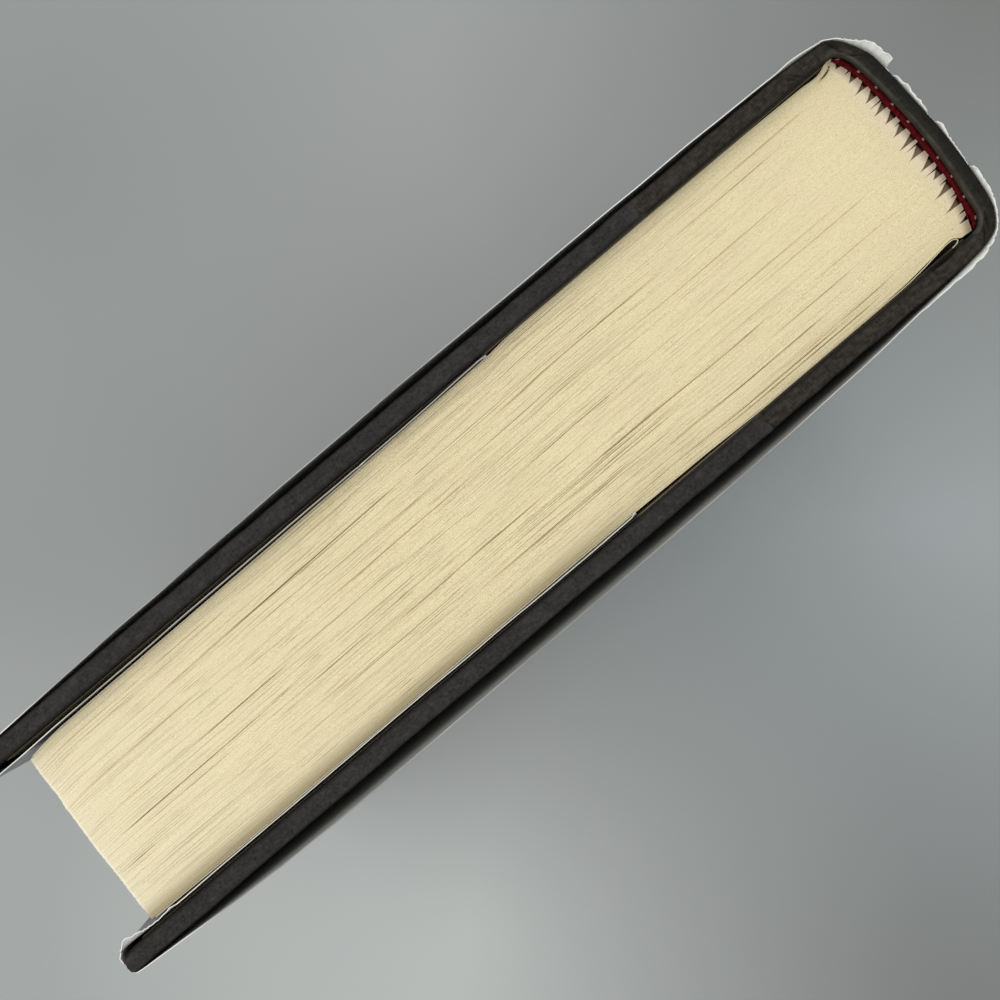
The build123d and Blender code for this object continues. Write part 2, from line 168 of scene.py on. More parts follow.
def notch_reach(layer):
    """How deep the gaps at the back cut in at a layer: for each, the depth times one less the
    two-thirds power of the distance from its tip, as a share of the width on that side."""
    reach = np.zeros_like(layer)
    cuts = [((2 * share - 1) * back_half, *notch, notch_rear) for share, *notch in notches]
    cuts += [(tip, depth, slit_width, slit_width) for tip, depth in slits]
    for tip, depth, front_width, rear_width in cuts:
        off = layer - tip
        share = np.clip(np.abs(off) / np.where(off < 0, front_width, rear_width), 0, 1)
        reach = np.maximum(reach, depth * (1 - share**0.6667))
    return reach


def gap_depth(x, layer):
    """How open the head is, from 0 to 1, where leaves stand apart: for each gap a bell across its
    line, which wanders a little and fades at both ends."""
    open_share = np.zeros(np.broadcast_shapes(x.shape, layer.shape))
    for number, (x_from, x_to, layer_from, layer_to, darkness) in enumerate(head_gaps):
        along = (x - x_from) / (x_to - x_from)
        line = layer_from + (layer_to - layer_from) * along + 0.04 * wander(x, 7.0, 40 + number)
        ends = smooth(along * 6) * smooth((1 - along) * 6)
        uneven = 0.7 + 0.3 * wander(x, 2.5, 90 + number)
        across = bell(layer - line, gap_half_width)
        open_share = np.maximum(open_share, darkness * ends * uneven * across)
    return open_share


def quads(index):
    """The four-sided faces between the rows and columns of a grid of point numbers."""
    corners = (index[:-1, :-1], index[1:, :-1], index[1:, 1:], index[:-1, 1:])
    return np.stack(corners, axis=-1).reshape(-1, 4)


def closed_block(points):
    """The skin of a lattice of points as quads over shared corners, with the side each belongs
    to: back, fore-edge, front, rear, tail and head, all facing out."""
    index = np.arange(points[..., 0].size).reshape(points.shape[:3])
    sides = (
        quads(index[0])[:, ::-1],
        quads(index[-1]),
        quads(index[:, 0]),
        quads(index[:, -1])[:, ::-1],
        quads(index[:, :, 0])[:, ::-1],
        quads(index[:, :, -1]),
    )
    faces = np.concatenate(sides)
    side_of = np.repeat(np.arange(len(sides)), [len(side) for side in sides])
    used, compact = np.unique(faces, return_inverse=True)
    return points.reshape(-1, 3)[used], compact.reshape(faces.shape), side_of, used


def make_piece(name, points, faces, pattern=None, part_of=None):
    """A mesh object from points, four-sided faces, a pattern position for each face corner and the
    number of the material on each face."""
    mesh = bpy.data.meshes.new(name)
    mesh.vertices.add(len(points))
    mesh.vertices.foreach_set("co", np.ascontiguousarray(points, dtype=np.float32).ravel())
    mesh.loops.add(faces.size)
    mesh.loops.foreach_set("vertex_index", np.ascontiguousarray(faces, dtype=np.int32).ravel())
    mesh.polygons.add(len(faces))
    mesh.polygons.foreach_set("loop_start", np.arange(0, faces.size, 4, dtype=np.int32))
    mesh.polygons.foreach_set("loop_total", np.full(len(faces), 4, dtype=np.int32))
    mesh.update(calc_edges=True)
    if pattern is not None:
        layer = mesh.uv_layers.new(name="pattern")
        layer.data.foreach_set("uv", np.ascontiguousarray(pattern, dtype=np.float32).ravel())
    if part_of is not None:
        numbers = np.ascontiguousarray(part_of, dtype=np.int32)
        mesh.polygons.foreach_set("material_index", numbers)
    mesh.polygons.foreach_set("use_smooth", np.ones(len(faces), dtype=bool))
    mesh.validate()
    mesh.update()
    piece = bpy.data.objects.new(name, mesh)
    bpy.context.scene.collection.objects.link(piece)
    return piece


def mark(piece, name, values):
    """Stores a number for each point of a piece, for its material to read."""
    kept = piece.data.attributes.new(name, "FLOAT", "POINT")
    kept.data.foreach_set("value", np.ascontiguousarray(values, dtype=np.float32).ravel())


def tone(red, green, blue):
    """A colour given as it looks on a screen, from 0 to 255, in the linear values of a shader."""
    value = np.array((red, green, blue)) / 255
    linear = np.where(value <= 0.04045, value / 12.92, ((value + 0.055) / 1.055) ** 2.4)
    return (*linear.tolist(), 1.0)


class Finish:
    """A material as it is made up: plain values on its shader, a ground colour between two tones,
    and tints laid over that one by one. A pattern is read over the solid or over the sheet."""

    def __init__(self, name, roughness, **sockets):
        self.material = bpy.data.materials.new(name)
        self.material.use_nodes = True
        self.tree = self.material.node_tree
        self.shader = self.tree.nodes["Principled BSDF"]
        self.shader.inputs["Roughness"].default_value = roughness
        for socket, value in sockets.items():
            self.shader.inputs[socket.replace("_", " ")].default_value = value
        place = self.node("ShaderNodeTexCoord")
        self.solid, self.sheet = place.outputs["Object"], place.outputs["UV"]
        self.colour = None

    def put(self, socket, value):
        """Joins an input to a node's output, or gives it a plain value."""
        if isinstance(value, bpy.types.NodeSocket):
            self.tree.links.new(value, socket)
        else:
            socket.default_value = value

    def node(self, kind, inputs=(), **settings):
        """Adds a shader node with its settings and its inputs."""
        made = self.tree.nodes.new(kind)
        for name, value in settings.items():
            setattr(made, name, value)
        for socket, value in dict(inputs).items():
            self.put(made.inputs[socket], value)
        return made

    def noise(self, place, scale, detail=3.0, roughness=0.6):
        """Noise on a place, drawn out where the scale differs from axis to axis."""
        scale = np.broadcast_to(np.array(scale, float), 3).tolist()
        drawn = self.node("ShaderNodeMapping", {"Vector": place, "Scale": scale}).outputs[0]
        settings = {"Vector": drawn, "Scale": 1.0, "Detail": detail, "Roughness": roughness}
        return self.node("ShaderNodeTexNoise", settings).outputs[0]

    def axes(self, place):
        """The three distances of a place."""
        return tuple(self.node("ShaderNodeSeparateXYZ", {"Vector": place}).outputs)

    def marked(self, name):
        """The number that mark() stored at each point of the piece."""
        return self.node("ShaderNodeAttribute", attribute_name=name).outputs["Fac"]

    def between(self, value, low, high, to_low=0.0, to_high=1.0):
        """A value taken from one range to another, and held at its ends."""
        names = ("Value", "From Min", "From Max", "To Min", "To Max")
        settings = dict(zip(names, (value, low, high, to_low, to_high)))
        return self.node("ShaderNodeMapRange", settings).outputs[0]

    def worked(self, operation, *values):
        """Values taken together one after another by the same arithmetic."""
        total = values[0]
        for value in values[1:]:
            pair = {0: total, 1: value}
            total = self.node("ShaderNodeMath", pair, operation=operation).outputs[0]
        return total

    def blend(self, share, first, second):
        """Two colours mixed by a share."""
        inputs = {0: share, 6: first, 7: second}
        return self.node("ShaderNodeMix", inputs, data_type="RGBA").outputs[2]

    def ground(self, first, second, value, low=0.3, high=0.7):
        """The ground colour: from the first tone to the second as a value goes from low to high."""
        self.colour = self.blend(self.between(value, low, high), tone(*first), tone(*second))

    def tint(self, towards, *shares):
        """Draws the colour towards a tone by the product of the shares. A share is an output, or
        what between() takes: a value, its low and high ends, and what these become."""
        ready = [self.between(*share) if isinstance(share, tuple) else share for share in shares]
        self.colour = self.blend(self.worked("MULTIPLY", *ready), self.colour, tone(*towards))

    def complete(self, height=None, depth=0.0):
        """Joins the colour to the shader, with bump as deep as depth in metres where the height
        goes from 0 to 1, and hands over the material."""
        self.put(self.shader.inputs["Base Color"], self.colour)
        if height is not None:
            bump = {"Height": height, "Distance": depth, "Strength": 1.0}
            self.put(self.shader.inputs["Normal"], self.node("ShaderNodeBump", bump).outputs[0])
        return self.material


# Along the block the stations lie close by the back, where the gaps between the folds are.
near_back = (
    0, 0.12, 0.25, 0.4, 0.55, 0.75, 1.0, 1.25, 1.5, 1.7, 1.9, 2.1, 2.3, 2.5, 2.7, 2.9, 3.15, 3.4,
    3.7, 4.0, 4.7, 5.5, 6.5, 7.6, 9.0, 10.5, 12.2, 14.5, 17.5, 21.0,
)
along_leaf = np.concatenate((near_back, np.linspace(25, 139.2, 34), (139.45, 139.6)))
leaf_share = along_leaf / along_leaf[-1]
layer_share = np.linspace(0, 1, 560)
rise = np.array((0, 0.35, 0.75, 1.15, 1.55, 2.2, 3.2, 5.0, 12.0, 60.0))
height_stations = np.concatenate((rise, page_height - rise[::-1]))
end_distance = np.minimum(height_stations, page_height - height_stations)
near_head = bell(page_height - height_stations, edge_reach)
near_tail = bell(height_stations, edge_reach)

# The back and the fore-edge of each layer, and the leaves drawn between them.
layer = (layer_share * 2 - 1) * back_half
narrowing = 1 - np.clip(end_distance / 1.55, 0, 1) ** 1.4
fold_edge = back_at(layer) + 0.06 * wander(layer, 0.9, 3)
fold_edge = fold_edge - 0.35 * smooth((-11.5 - layer) / 2.5) - 0.1 * smooth((layer - 11.5) / 2)
swollen_edge = fold_edge[:, None] - swelling_at(end_distance)
back_edge = swollen_edge + notch_reach(layer)[:, None] * narrowing
leaf_steps = 0.05 * wander(layer, 0.12, 4) + 0.09 * wander(layer, 1.9, 5)
fore_edge = 140.4 + 1.6 * layer_share + 0.15 * (1 - (2 * layer_share - 1) ** 2) + leaf_steps
leaf_x = back_edge + leaf_share[:, None, None] * (fore_edge[:, None] - back_edge)
front_taper, front_bend = front_inset(leaf_x)
rear_taper, rear_bend = rear_inset(leaf_x)
front_y = front_taper - back_half
rear_y = back_half - rear_taper
share = layer_share[None, :, None]
leaf_y = front_y + share * (rear_y - front_y) + front_bend * (1 - share) ** 12
leaf_y = leaf_y - rear_bend * share**12

# At the head the leaves stand a hair proud or sunk, and apart along the open gaps. One more gap
# runs under the first leaves at the front shoulder.
head_x = leaf_x[:, :, -1]
wave = 0.02 * (
    wander(layer, 0.13, 6) + wander(layer, 1.7, 7) + wander(head_x * 0.2 + layer * 3, 1.0, 8)
)
cleft_y = np.interp(head_x, (-0.5, -0.1, 0.4, 1.2, 2.4), (-14.55, -14.2, -13.9, -13.7, -13.62))
cleft = smooth((head_x + 0.5) / 0.3) * smooth((2.6 - head_x) / 2.0)
cleft = cleft * bell(leaf_y[:, :, -1] - cleft_y, 0.09)
open_gaps = np.maximum(gap_depth(head_x, layer), cleft)
leaf_z = page_foot + height_stations + (wave - 0.06 - gap_sink * open_gaps)[:, :, None] * near_head
leaf_z = leaf_z + (0.06 - wave[:, ::-1])[:, :, None] * near_tail

block_points, block_faces, block_sides, block_used = closed_block(placed(leaf_x, leaf_y, leaf_z))


def on_skin(values):
    """Values of the lattice at the points that its skin uses."""
    return np.broadcast_to(values, leaf_x.shape).reshape(-1)[block_used]


on_ends = np.isin(block_sides, (4, 5))[:, None]
on_faces = np.isin(block_sides, (2, 3))[:, None]
leaf_along, leaf_up = on_skin(leaf_x / 100)[block_faces], on_skin(leaf_z / 100)[block_faces]
leaf_across = on_skin(layer[:, None] / 100)[block_faces]
pattern_u = np.where(on_ends | on_faces, leaf_along, leaf_up)
pattern_v = np.where(on_faces, leaf_up, leaf_across)
text_block = make_piece("pages", block_points, block_faces, together(pattern_u, pattern_v))
for name, values in (
    # gap: painted shade in the open gaps between leaves at the head.
    ("gap", open_gaps[:, :, None] * near_head),
    # fore: a painted highlight along the fore-edge of the head.
    ("fore", smooth((leaf_share - 0.9965) / 0.0025)[:, None, None] * near_head),
    # rear: painted shade where the last leaves fall away towards the rear flap.
    ("rear", smooth((share - 0.91) / 0.085) * smooth((leaf_x - 50) / 22) * near_head),
    # bead: painted shadow of the bead on the folds beside it.
    ("bead", smooth(1 - (leaf_x - swollen_edge) / 1.8) * near_head),
):
    mark(text_block, name, on_skin(values))

pages = Finish("cream book paper, cut edges", 0.9, Specular_IOR_Level=0.25)
leaf_lines = pages.noise(pages.sheet, (5, 460, 1), 3.0, 0.75)
leaf_bands = pages.noise(pages.sheet, (3, 110, 1))
grain = pages.noise(pages.solid, 7600, 1.0)
mottle = pages.noise(pages.solid, 2300, 2.0)
blotch = pages.noise(pages.solid, 150)
plan_x, _, plan_z = pages.axes(pages.solid)
off_spine = pages.between(plan_x, -0.062, -0.02, 0.1, 1.0)
pages.ground((230, 216, 174), (236, 223, 181), leaf_lines)
pages.tint((214, 199, 154), (leaf_bands, 0.4, 0.75, 0, 0.08))
pages.tint((230, 208, 172), (blotch, 0.45, 0.8, 0, 0.45))
pages.tint((206, 190, 146), (mottle, 0.5, 0.75, 0, 0.4))
pages.tint((186, 170, 130), (grain, 0.48, 0.72, 0, 0.7))
pages.tint((250, 240, 205), (grain, 0.46, 0.25, 0, 0.5))
# Painted shade of the hair gaps between leaves: thin dark lines along the leaves, fainter towards
# the spine.
for line_scale, low, high, depth in (
    ((14, 1150, 1), 0.64, 0.7, 0.75),
    ((2.6, 1000, 1), 0.64, 0.69, 0.9),
    ((5, 1500, 1), 0.6, 0.7, 0.5),
):
    lines = pages.noise(pages.sheet, line_scale, 1.0, 0.5)
    pages.tint((110, 94, 58), (lines, low, high, 0, depth), off_spine)
# Painted shade with a pink cast from the red bead, on the folds at the back.
pages.tint((232, 217, 200), (plan_x, -0.0708, -0.0736, 0, 0.7))
# Painted shade on the walls of the gaps between the folds, below the head.
pages.tint((164, 147, 116), (plan_z, 0.21305, 0.2124, 0, 0.8), (plan_x, -0.068, -0.069))
pages.tint((246, 236, 204), (plan_x, 0.02, 0.0685, 0, 0.3))
for name, low, high, most, towards in (
    # Painted highlight along the fore-edge.
    ("fore", 0, 1, 0.5, (252, 248, 234)),
    # Painted shade along the rear face of the block.
    ("rear", 0, 1, 0.75, (158, 144, 110)),
    # Painted shadow of the bead on the folds.
    ("bead", 0.1, 0.9, 0.7, (128, 104, 88)),
    # Painted shade in the open gaps at the head.
    ("gap", 0.15, 0.9, 0.9, (70, 58, 40)),
):
    pages.tint(towards, (pages.marked(name), low, high, 0, most))
text_block.data.materials.append(pages.complete(leaf_lines, 0.00003))
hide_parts("text_block")
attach(text_block, "book_block")


# Spine lining. Gauze and brown paper pasted over the sewing, between the two bands. It stays as
# the CAD solid, hidden in the hollow of the back.
def dress(node_name, material):
    """Puts a material on a solid of the CAD model, in place of its plain one."""
    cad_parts[node_name].data.materials.clear()
    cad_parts[node_name].data.materials.append(material)


lining = Finish("brown lining paper on gauze", 0.9)
fibre = lining.noise(lining.solid, (300, 1500, 300), 4.0)
weave = {"Vector": lining.solid, "Scale": 260.0, "Distortion": 0.4}
gauze = lining.node("ShaderNodeTexWave", weave).outputs[1]
lining.ground((150, 122, 86), (182, 156, 118), fibre)
lining.tint((214, 200, 170), (gauze, 0.6, 0.9, 0, 0.35))
dress("spine_lining", lining.complete(fibre, 0.0001))


# Headband and tailband. Dark red cotton thread woven over a cord, on a tape that is glued to the
# back, so that a ribbed bead closes each end. A pale warp thread shows through at every stitch.
bead_radius = 0.5
bead_sides = 24
bead_turn = np.linspace(0, 2 * np.pi, bead_sides + 1)
bead_y = np.linspace(-14.75, 14.7, 480)
bead_line = (
    (-14.75, -0.95), (-14.2, -1.42), (-13.4, -1.86), (-12.4, -2.12), (-10, -2.62), (-8, -2.86),
    (-5, -3.0), (0, -3.07), (3, -3.06), (6, -2.92), (9, -2.56), (11, -2.2), (12.4, -1.92),
    (13.3, -1.76), (14.1, -1.42), (14.7, -1.0),
)
rib_pitch = 0.46
first_stitch = 1.24
tape_thickness = 0.28
tape_gap = 0.06


def shell(name, outer, inner, pattern, outside=0, inside=0, edge_part=0):
    """A closed sheet from rows and columns of points on its two sides: both sides, and the cut
    edge between them all round. The side on which it faces out is found from the two grids."""
    rows, columns = outer.shape[:2]
    index = np.arange(rows * columns).reshape(rows, columns)
    side = quads(index)
    rim = np.concatenate((index[0, ::-1], index[1:, 0], index[-1, 1:], index[-2:0:-1, -1]))
    flat = outer.reshape(-1, 3)
    normal = np.cross(flat[side[:, 2]] - flat[side[:, 0]], flat[side[:, 3]] - flat[side[:, 1]])
    out = (outer - inner).reshape(-1, 3)[side].mean(axis=1)
    if (normal * out).sum() < 0:
        side = side[:, ::-1]
        rim = rim[::-1]
    after = np.roll(rim, -1)
    second = rows * columns
    edge = np.stack((rim, rim + second, after + second, after), axis=-1)
    faces = np.concatenate((side, side[:, ::-1] + second, edge))
    part_of = np.repeat((outside, inside, edge_part), (len(side), len(side), len(edge)))
    points = np.concatenate((flat, inner.reshape(-1, 3)))
    spread = np.tile(pattern.reshape(-1, 2), (2, 1))
    return make_piece(name, points, faces, spread[faces], part_of)


def bead(name, height, upward):
    """A tube along the folded backs: its radius swells over each thread, whose line winds round
    the cord as it goes, and narrows to a small closed disc at both ends."""
    y = bead_y[:, None]
    end = np.minimum(y - bead_y[0], bead_y[-1] - y)
    ribs = np.abs(np.sin(np.pi * (y / rib_pitch + 0.25 * np.sin(bead_turn))))
    radius = bead_radius * (0.86 + 0.16 * ribs) * np.sqrt(np.clip(end / 0.5, 0.02, 1))
    centre = np.interp(y, *np.array(bead_line).T) + 0.08 * wander(y, 1.9, 11)
    x = centre - radius * np.cos(bead_turn)
    z = height + upward * (radius * np.sin(bead_turn) + 0.08 * wander(y, 2.3, 12))
    spread = together((y - first_stitch) / 10, bead_turn / (2 * np.pi)).reshape(-1, 2)
    first = np.arange(bead_sides // 2 - 1)
    cap = np.stack((first, first + 1, bead_sides - 2 - first, bead_sides - 1 - first), axis=-1)

    def skin(index):
        """The faces over these point numbers: between the rows and columns, and both end discs."""
        return np.concatenate((quads(index), index[0][cap], index[-1][cap[:, ::-1]]))

    index = np.arange(x.size).reshape(x.shape)
    corners = skin(index)
    index[:, -1] = index[:, 0]
    faces = skin(index)
    if upward > 0:
        faces, corners = faces[:, ::-1], corners[:, ::-1]
    return make_piece(name, placed(x, y, z).reshape(-1, 3), faces, spread[corners])


def band_tape(name, low, high):
    """The tape under a bead: a strip that follows the backs, a little off them, and goes out over
    their swelling near the block's end."""
    y = np.linspace(-13.67, 13.67, 60)[:, None]
    z = np.linspace(low, high, 12)
    x = back_at(y) - swelling_at(np.minimum(z - page_foot, page_top - z)) - tape_gap
    return shell(name, placed(x - tape_thickness, y, z), placed(x, y, z), together(y / 10, z / 10))


thread = Finish("dark red band thread", 0.8, Specular_IOR_Level=0.12)
rib = thread.noise(thread.sheet, (22, 3, 1), 2.0)
fuzz = thread.noise(thread.solid, 2200)
along, around, _ = thread.axes(thread.sheet)
stitch = thread.worked("PINGPONG", along, 0.155)
off_top = thread.worked("SUBTRACT", around, 0.16)
off_top = thread.node("ShaderNodeMath", {0: off_top}, operation="ABSOLUTE").outputs[0]
thread.ground((42, 3, 5), (100, 5, 12), rib)
thread.tint((38, 3, 5), (fuzz, 0.5, 0.8, 0, 0.5))
thread.tint((200, 160, 158), (stitch, 0.022, 0.012), (off_top, 0.09, 0.05, 0, 0.8))
band = thread.complete(fuzz, 0.0001)
for name, height, upward, low, high in (
    ("headband", 213.12, 1, 204.2, 212.9),
    ("tailband", 3.28, -1, 3.5, 12.2),
):
    for piece in (bead(name + "_bead", height, upward), band_tape(name + "_tape", low, high)):
        piece.data.materials.append(band)
        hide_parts(name)
        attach(piece, "book_block")


# Endpapers. At each side one folded sheet of heavier off-white paper: half is pasted on the board
# and half turns as the flyleaf. The front fold lies close, the rear one stands off the board.
leaf_thickness = 0.12
leaf_off = 0.085
middle_height = 108.2
leaf_heights = (3.2, 3.6, 5, 12, 40, 80, 108, 140, 180, 203, 208, 211, 212.8, 213.2)
endpaper_tones = ((226, 214, 180), (238, 229, 200))


def distance_along(path):
    """How far each station of a plan path lies from its first one."""
    return np.concatenate(([0], np.cumsum(np.hypot(*np.diff(path, axis=0).T))))


def rounded(path, reach):
    """A path averaged twice over a few neighbours on either side, so that its corners are round.
    Beyond its two ends, which stay in place, it is turned over about them."""
    ends = path[0].copy(), path[-1].copy()
    kernel = np.ones(2 * reach + 1) / (2 * reach + 1)
    for _ in range(2):
        before = 2 * path[0] - path[reach:0:-1]
        beyond = 2 * path[-1] - path[-2 : -2 - reach : -1]
        padded = np.concatenate((before, path, beyond))
        path = together(*(np.convolve(padded[:, axis], kernel, "valid") for axis in (0, 1)))
        path[0], path[-1] = ends
    return path


def smooth_path(points, count, rounding):
    """A path through plan points, evenly spaced along its length and then rounded."""
    points = np.array(points, float)
    run = distance_along(points)
    even = np.linspace(0, run[-1], count)
    path = together(*(np.interp(even, run, points[:, axis]) for axis in (0, 1)))
    return rounded(path, max(1, int(rounding / (run[-1] / count) / 2)))


def side_of_path(path):
    """Unit directions to the left of a plan path."""
    heading = np.gradient(path, axis=0)
    heading /= np.hypot(heading[:, 0], heading[:, 1])[:, None]
    return together(-heading[:, 1], heading[:, 0])


def off_path(path, sideways, off, z):
    """A sheet's side that stands on a plan path: each station moved sideways by a distance."""
    x = path[:, 0][:, None] + sideways[:, 0][:, None] * off
    return placed(x, path[:, 1][:, None] + sideways[:, 1][:, None] * off, z)


def upright_sheet(name, path, seed):
    """A flyleaf that stands on a plan path: each side half the thickness off it, with its head
    and tail edges a little uneven."""
    left = side_of_path(path)
    run = distance_along(path)[:, None]
    z = np.array(leaf_heights)
    at_edges = (np.abs(z - z.mean()) / (np.ptp(z) / 2)) ** 8
    rough_z = z + 0.03 * wander(run, 3.0, seed) * at_edges
    half = leaf_thickness / 2
    sides = [off_path(path, left, off, rough_z) for off in (half, -half)]
    return shell(name, *sides, together(run / 100, z / 100))


endpaper = Finish("off-white endpaper", 0.88)
fibre = endpaper.noise(endpaper.solid, 500, 5.0)
blotch = endpaper.noise(endpaper.solid, 40)
plan_x, plan_y, plan_z = endpaper.axes(endpaper.solid)
endpaper.ground(*endpaper_tones, fibre)
endpaper.tint((216, 198, 158), (blotch, 0.45, 0.8, 0, 0.45))
# Painted shade near the head by the rear joint, where the rear flyleaf curls off the board.
endpaper.tint(
    (60, 44, 30),
    (plan_z, 0.202, 0.211, 0, 0.85),
    (plan_z, 0.2131, 0.2129),
    (plan_x, -0.060, -0.065),
    (plan_y, 0.0, 0.01),
)
flyleaf_paper = endpaper.complete(fibre, 0.00004)

front_x = np.concatenate((
    np.linspace(-0.2, 11, 44), np.linspace(14, 56, 20), np.linspace(56.4, 59.4, 14),
    np.linspace(63, 140.0, 30),
))
front_leaf = together(front_x, sum(front_inset(front_x)) - back_half - leaf_off)
front_leaf = np.concatenate((((-1.0, -14.72), (-0.6, -14.86)), front_leaf))
rear_x = np.linspace(141.3, 15, 64)
rear_leaf = together(rear_x, back_half - sum(rear_inset(rear_x)) + leaf_off)
rear_curl = (
    (12.5, 14.665), (10.26, 14.61), (7.53, 14.39), (6.1, 14.2), (4.77, 14.05), (3.38, 13.9),
    (2.5, 13.92), (1.95, 14.08), (1.7, 14.35), (1.84, 14.6), (2.3, 14.74), (3.0, 14.8),
)
front_path = smooth_path(front_leaf, 700, 0.5)
rear_path = smooth_path(np.concatenate((rear_leaf, rear_curl)), 900, 0.4)
for name, path, seed, replaced, cover, start, end in (
    ("front_endpaper", front_path, 21, "front_flyleaf", "front_cover",
     (-0.15, -14.86), (-0.6, -14.86)),
    ("rear_endpaper", rear_path, 23, "rear_flyleaf", "rear_cover",
     (2.4, 13.95), (2.34, 14.6)),
):
    flyleaf = upright_sheet(name, path, seed)
    flyleaf.data.materials.append(flyleaf_paper)
    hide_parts(replaced)
    tuple(placed(*start, middle_height))
    tuple(placed(*end, middle_height))
    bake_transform(flyleaf)

pasted = Finish("pasted endpaper, painted shade at the head", 0.88)
fibre = pasted.noise(pasted.solid, 500, 5.0)
blotch = pasted.noise(pasted.solid, 260, 4.0)
plan_x, plan_y, plan_z = pasted.axes(pasted.solid)
pasted.ground(*endpaper_tones, fibre)
# Painted shade along the head edge of the pastedowns, which lie deep between flyleaf and board.
pasted.tint((104, 90, 62), (plan_z, 0.2112, 0.2126, 0, 0.85))
# Mottled painted shade, darker still by the joints, most by the rear one.
pasted.tint(
    (30, 25, 19),
    (plan_z, 0.199, 0.2125),
    (plan_x, -0.056, -0.066),
    (blotch, 0.3, 0.6, 0.5, 1.0),
    (plan_y, -0.001, 0.001, 0.35, 1.0),
)
pasted_paper = pasted.complete(fibre, 0.00004)
dress("front_pastedown", pasted_paper)
dress("rear_pastedown", pasted_paper)


# Boards and spine inlay. Grey millboard, cut square, with a bevel at the joint and a rubbed fore
# corner that is crushed in at the head, and a thinner strip of the same card in the spine.
# Coverings and endpapers are pasted over them. The inlay stays as the CAD solid.
cover_height = 2 * middle_height
board_inner = 14.875
board_outer = 17.625
front_fore = 146.4
rear_fore = 148.0
card_inner = 15.1
card_outer = 17.4


def tip_wear(x, y, z, fore):
    """How far a board's fore corner is crushed in at the head: most at its inner face, and less
    with the distance from the corner."""
    at = (board_inner, 15.4, 16.4, 17.2, board_outer)
    depth = np.interp(np.abs(y), at, (1.7, 0.5, 0.12, 0.18, 0.6))
    return depth * smooth((z - 207.0) / 9.0) * smooth((x - fore + 4.5) / 4.5)


def board_card(name, side, x_from, bevel, x_fore):
    """A board's card as a lattice: the outer face rises along the bevel, the fore-edge is a square
    with round corners, and the head corner is crushed in."""
    near_ends = (np.linspace(0, 0.05, 10), np.linspace(0.1, 0.95, 14), np.linspace(0.96, 1, 14))
    share = np.concatenate(near_ends)[:, None, None]
    across = np.linspace(0, 1, 13)[:, None]
    z = np.array((0.22, 1, 6, 50, 120, 190, 205, 208, 210, 212, 214, 215.3, 216.13))
    corner = np.clip((np.abs(across - 0.5) * 2.3 - 0.45) / 0.7, 0, 1)
    x = x_from + share * (x_fore - 0.25 - 0.7 * (1 - np.sqrt(1 - corner**2)) - x_from)
    outer = card_outer - 0.55 * np.clip(1 - (x - x_from) / bevel, 0, 1)
    y = side * (card_inner + across * (outer - card_inner))
    x = x - tip_wear(x, y, z, x_fore)
    points, faces, _, _ = closed_block(placed(x, y, z))
    return make_piece(name, points, faces[:, ::-1] if side < 0 else faces)


millboard = Finish("grey millboard", 0.92)
fibre = millboard.noise(millboard.solid, (700, 2600, 700), 5.0)
fleck = millboard.noise(millboard.solid, 1100, 2.0)
millboard.ground((122, 116, 106), (158, 151, 138), fibre)
millboard.tint((84, 80, 74), (fleck, 0.66, 0.72, 0, 0.7))
card = millboard.complete(fibre, 0.0001)
dress("spine_inlay", card)
for side, name, cover, x_from, bevel, fore in (
    (-1, "front_board", "front_cover", -0.75, 6.0, front_fore),
    (1, "rear_board", "rear_cover", 0.85, 3.0, rear_fore),
):
    board = board_card(name + "_card", side, x_from, bevel, fore)
    board.data.materials.append(card)
    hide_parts(name)
    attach(board, cover)


# Spine cloth. One strip of black book cloth over the spine, both joints and the first part of each
# board, drawn over the edges and turned in at head and tail. It is drawn here in two halves that
# meet on the middle of the spine.
turned_in = 15.0
edge_drop = 0.5
edge_squareness = 4.2
cloth_thickness = 0.2
front_joint = ((-2.4, -17.6), (-1.0, -17.6))
rear_joint = ((-0.8, 17.6), (0.6, 17.6))

# Tucks where the turned-in cloth is bunched: plan position, slant, depth and width.
tucks = {
    "front_case_cloth": (
        (4.7, -15.9, 0.9, 0.14, 0.3), (5.3, -16.0, 0.9, -0.3, 0.28), (5.9, -16.3, 0.9, 0.14, 0.22),
        (-3.1, -12.9, 1.3, 0.5, 0.3), (-3.4, -12.2, 1.3, -0.2, 0.35), (11.5, -16.4, 0.4, 0.12, 0.3),
        (-2.6, -14.0, -0.2, -0.25, 0.4), (-1.4, -15.9, 0.4, 0.45, 0.3),
    ),
    "rear_case_cloth": (
        (-2.2, 14.6, -0.6, 0.4, 0.3), (-3.0, 13.4, -0.4, -0.15, 0.3), (-0.7, 16.0, -0.8, 0.35, 0.3),
        (3.9, 15.9, -0.6, -0.15, 0.25), (7.5, 15.4, 0.2, 0.12, 0.4),
    ),
}


def rounded_edge():
    """Half a superellipse, as the share of the way across and the share of the depth: stations lie
    close together at its two ends."""
    share = (1 - np.cos(np.linspace(0, np.pi, 25))) / 2
    return share, 1 - (1 - np.abs(2 * share - 1) ** edge_squareness) ** (1 / edge_squareness)


def wrap_profile():
    """The wrap of a covering from the inner turn-in's end, over the head, down the outside, under
    the tail and up inside: the share from inner to outer face, and the height. The head is a
    superellipse, as wide as the board is thick and as high as the drop."""
    share, fall = rounded_edge()
    inside = (turned_in, 11.0, 7.0, 4.0, 2.4, 1.4)
    outside = (1.5, 3.0, 7.0, 16.0, 40.0, 75.0, middle_height)
    shares = np.concatenate((np.zeros(len(inside)), share, np.ones(len(outside))))
    depths = np.concatenate((inside, edge_drop * fall, outside))
    shares = np.concatenate((shares, shares[-2::-1]))
    return shares, np.concatenate((cover_height - depths, depths[-2::-1]))


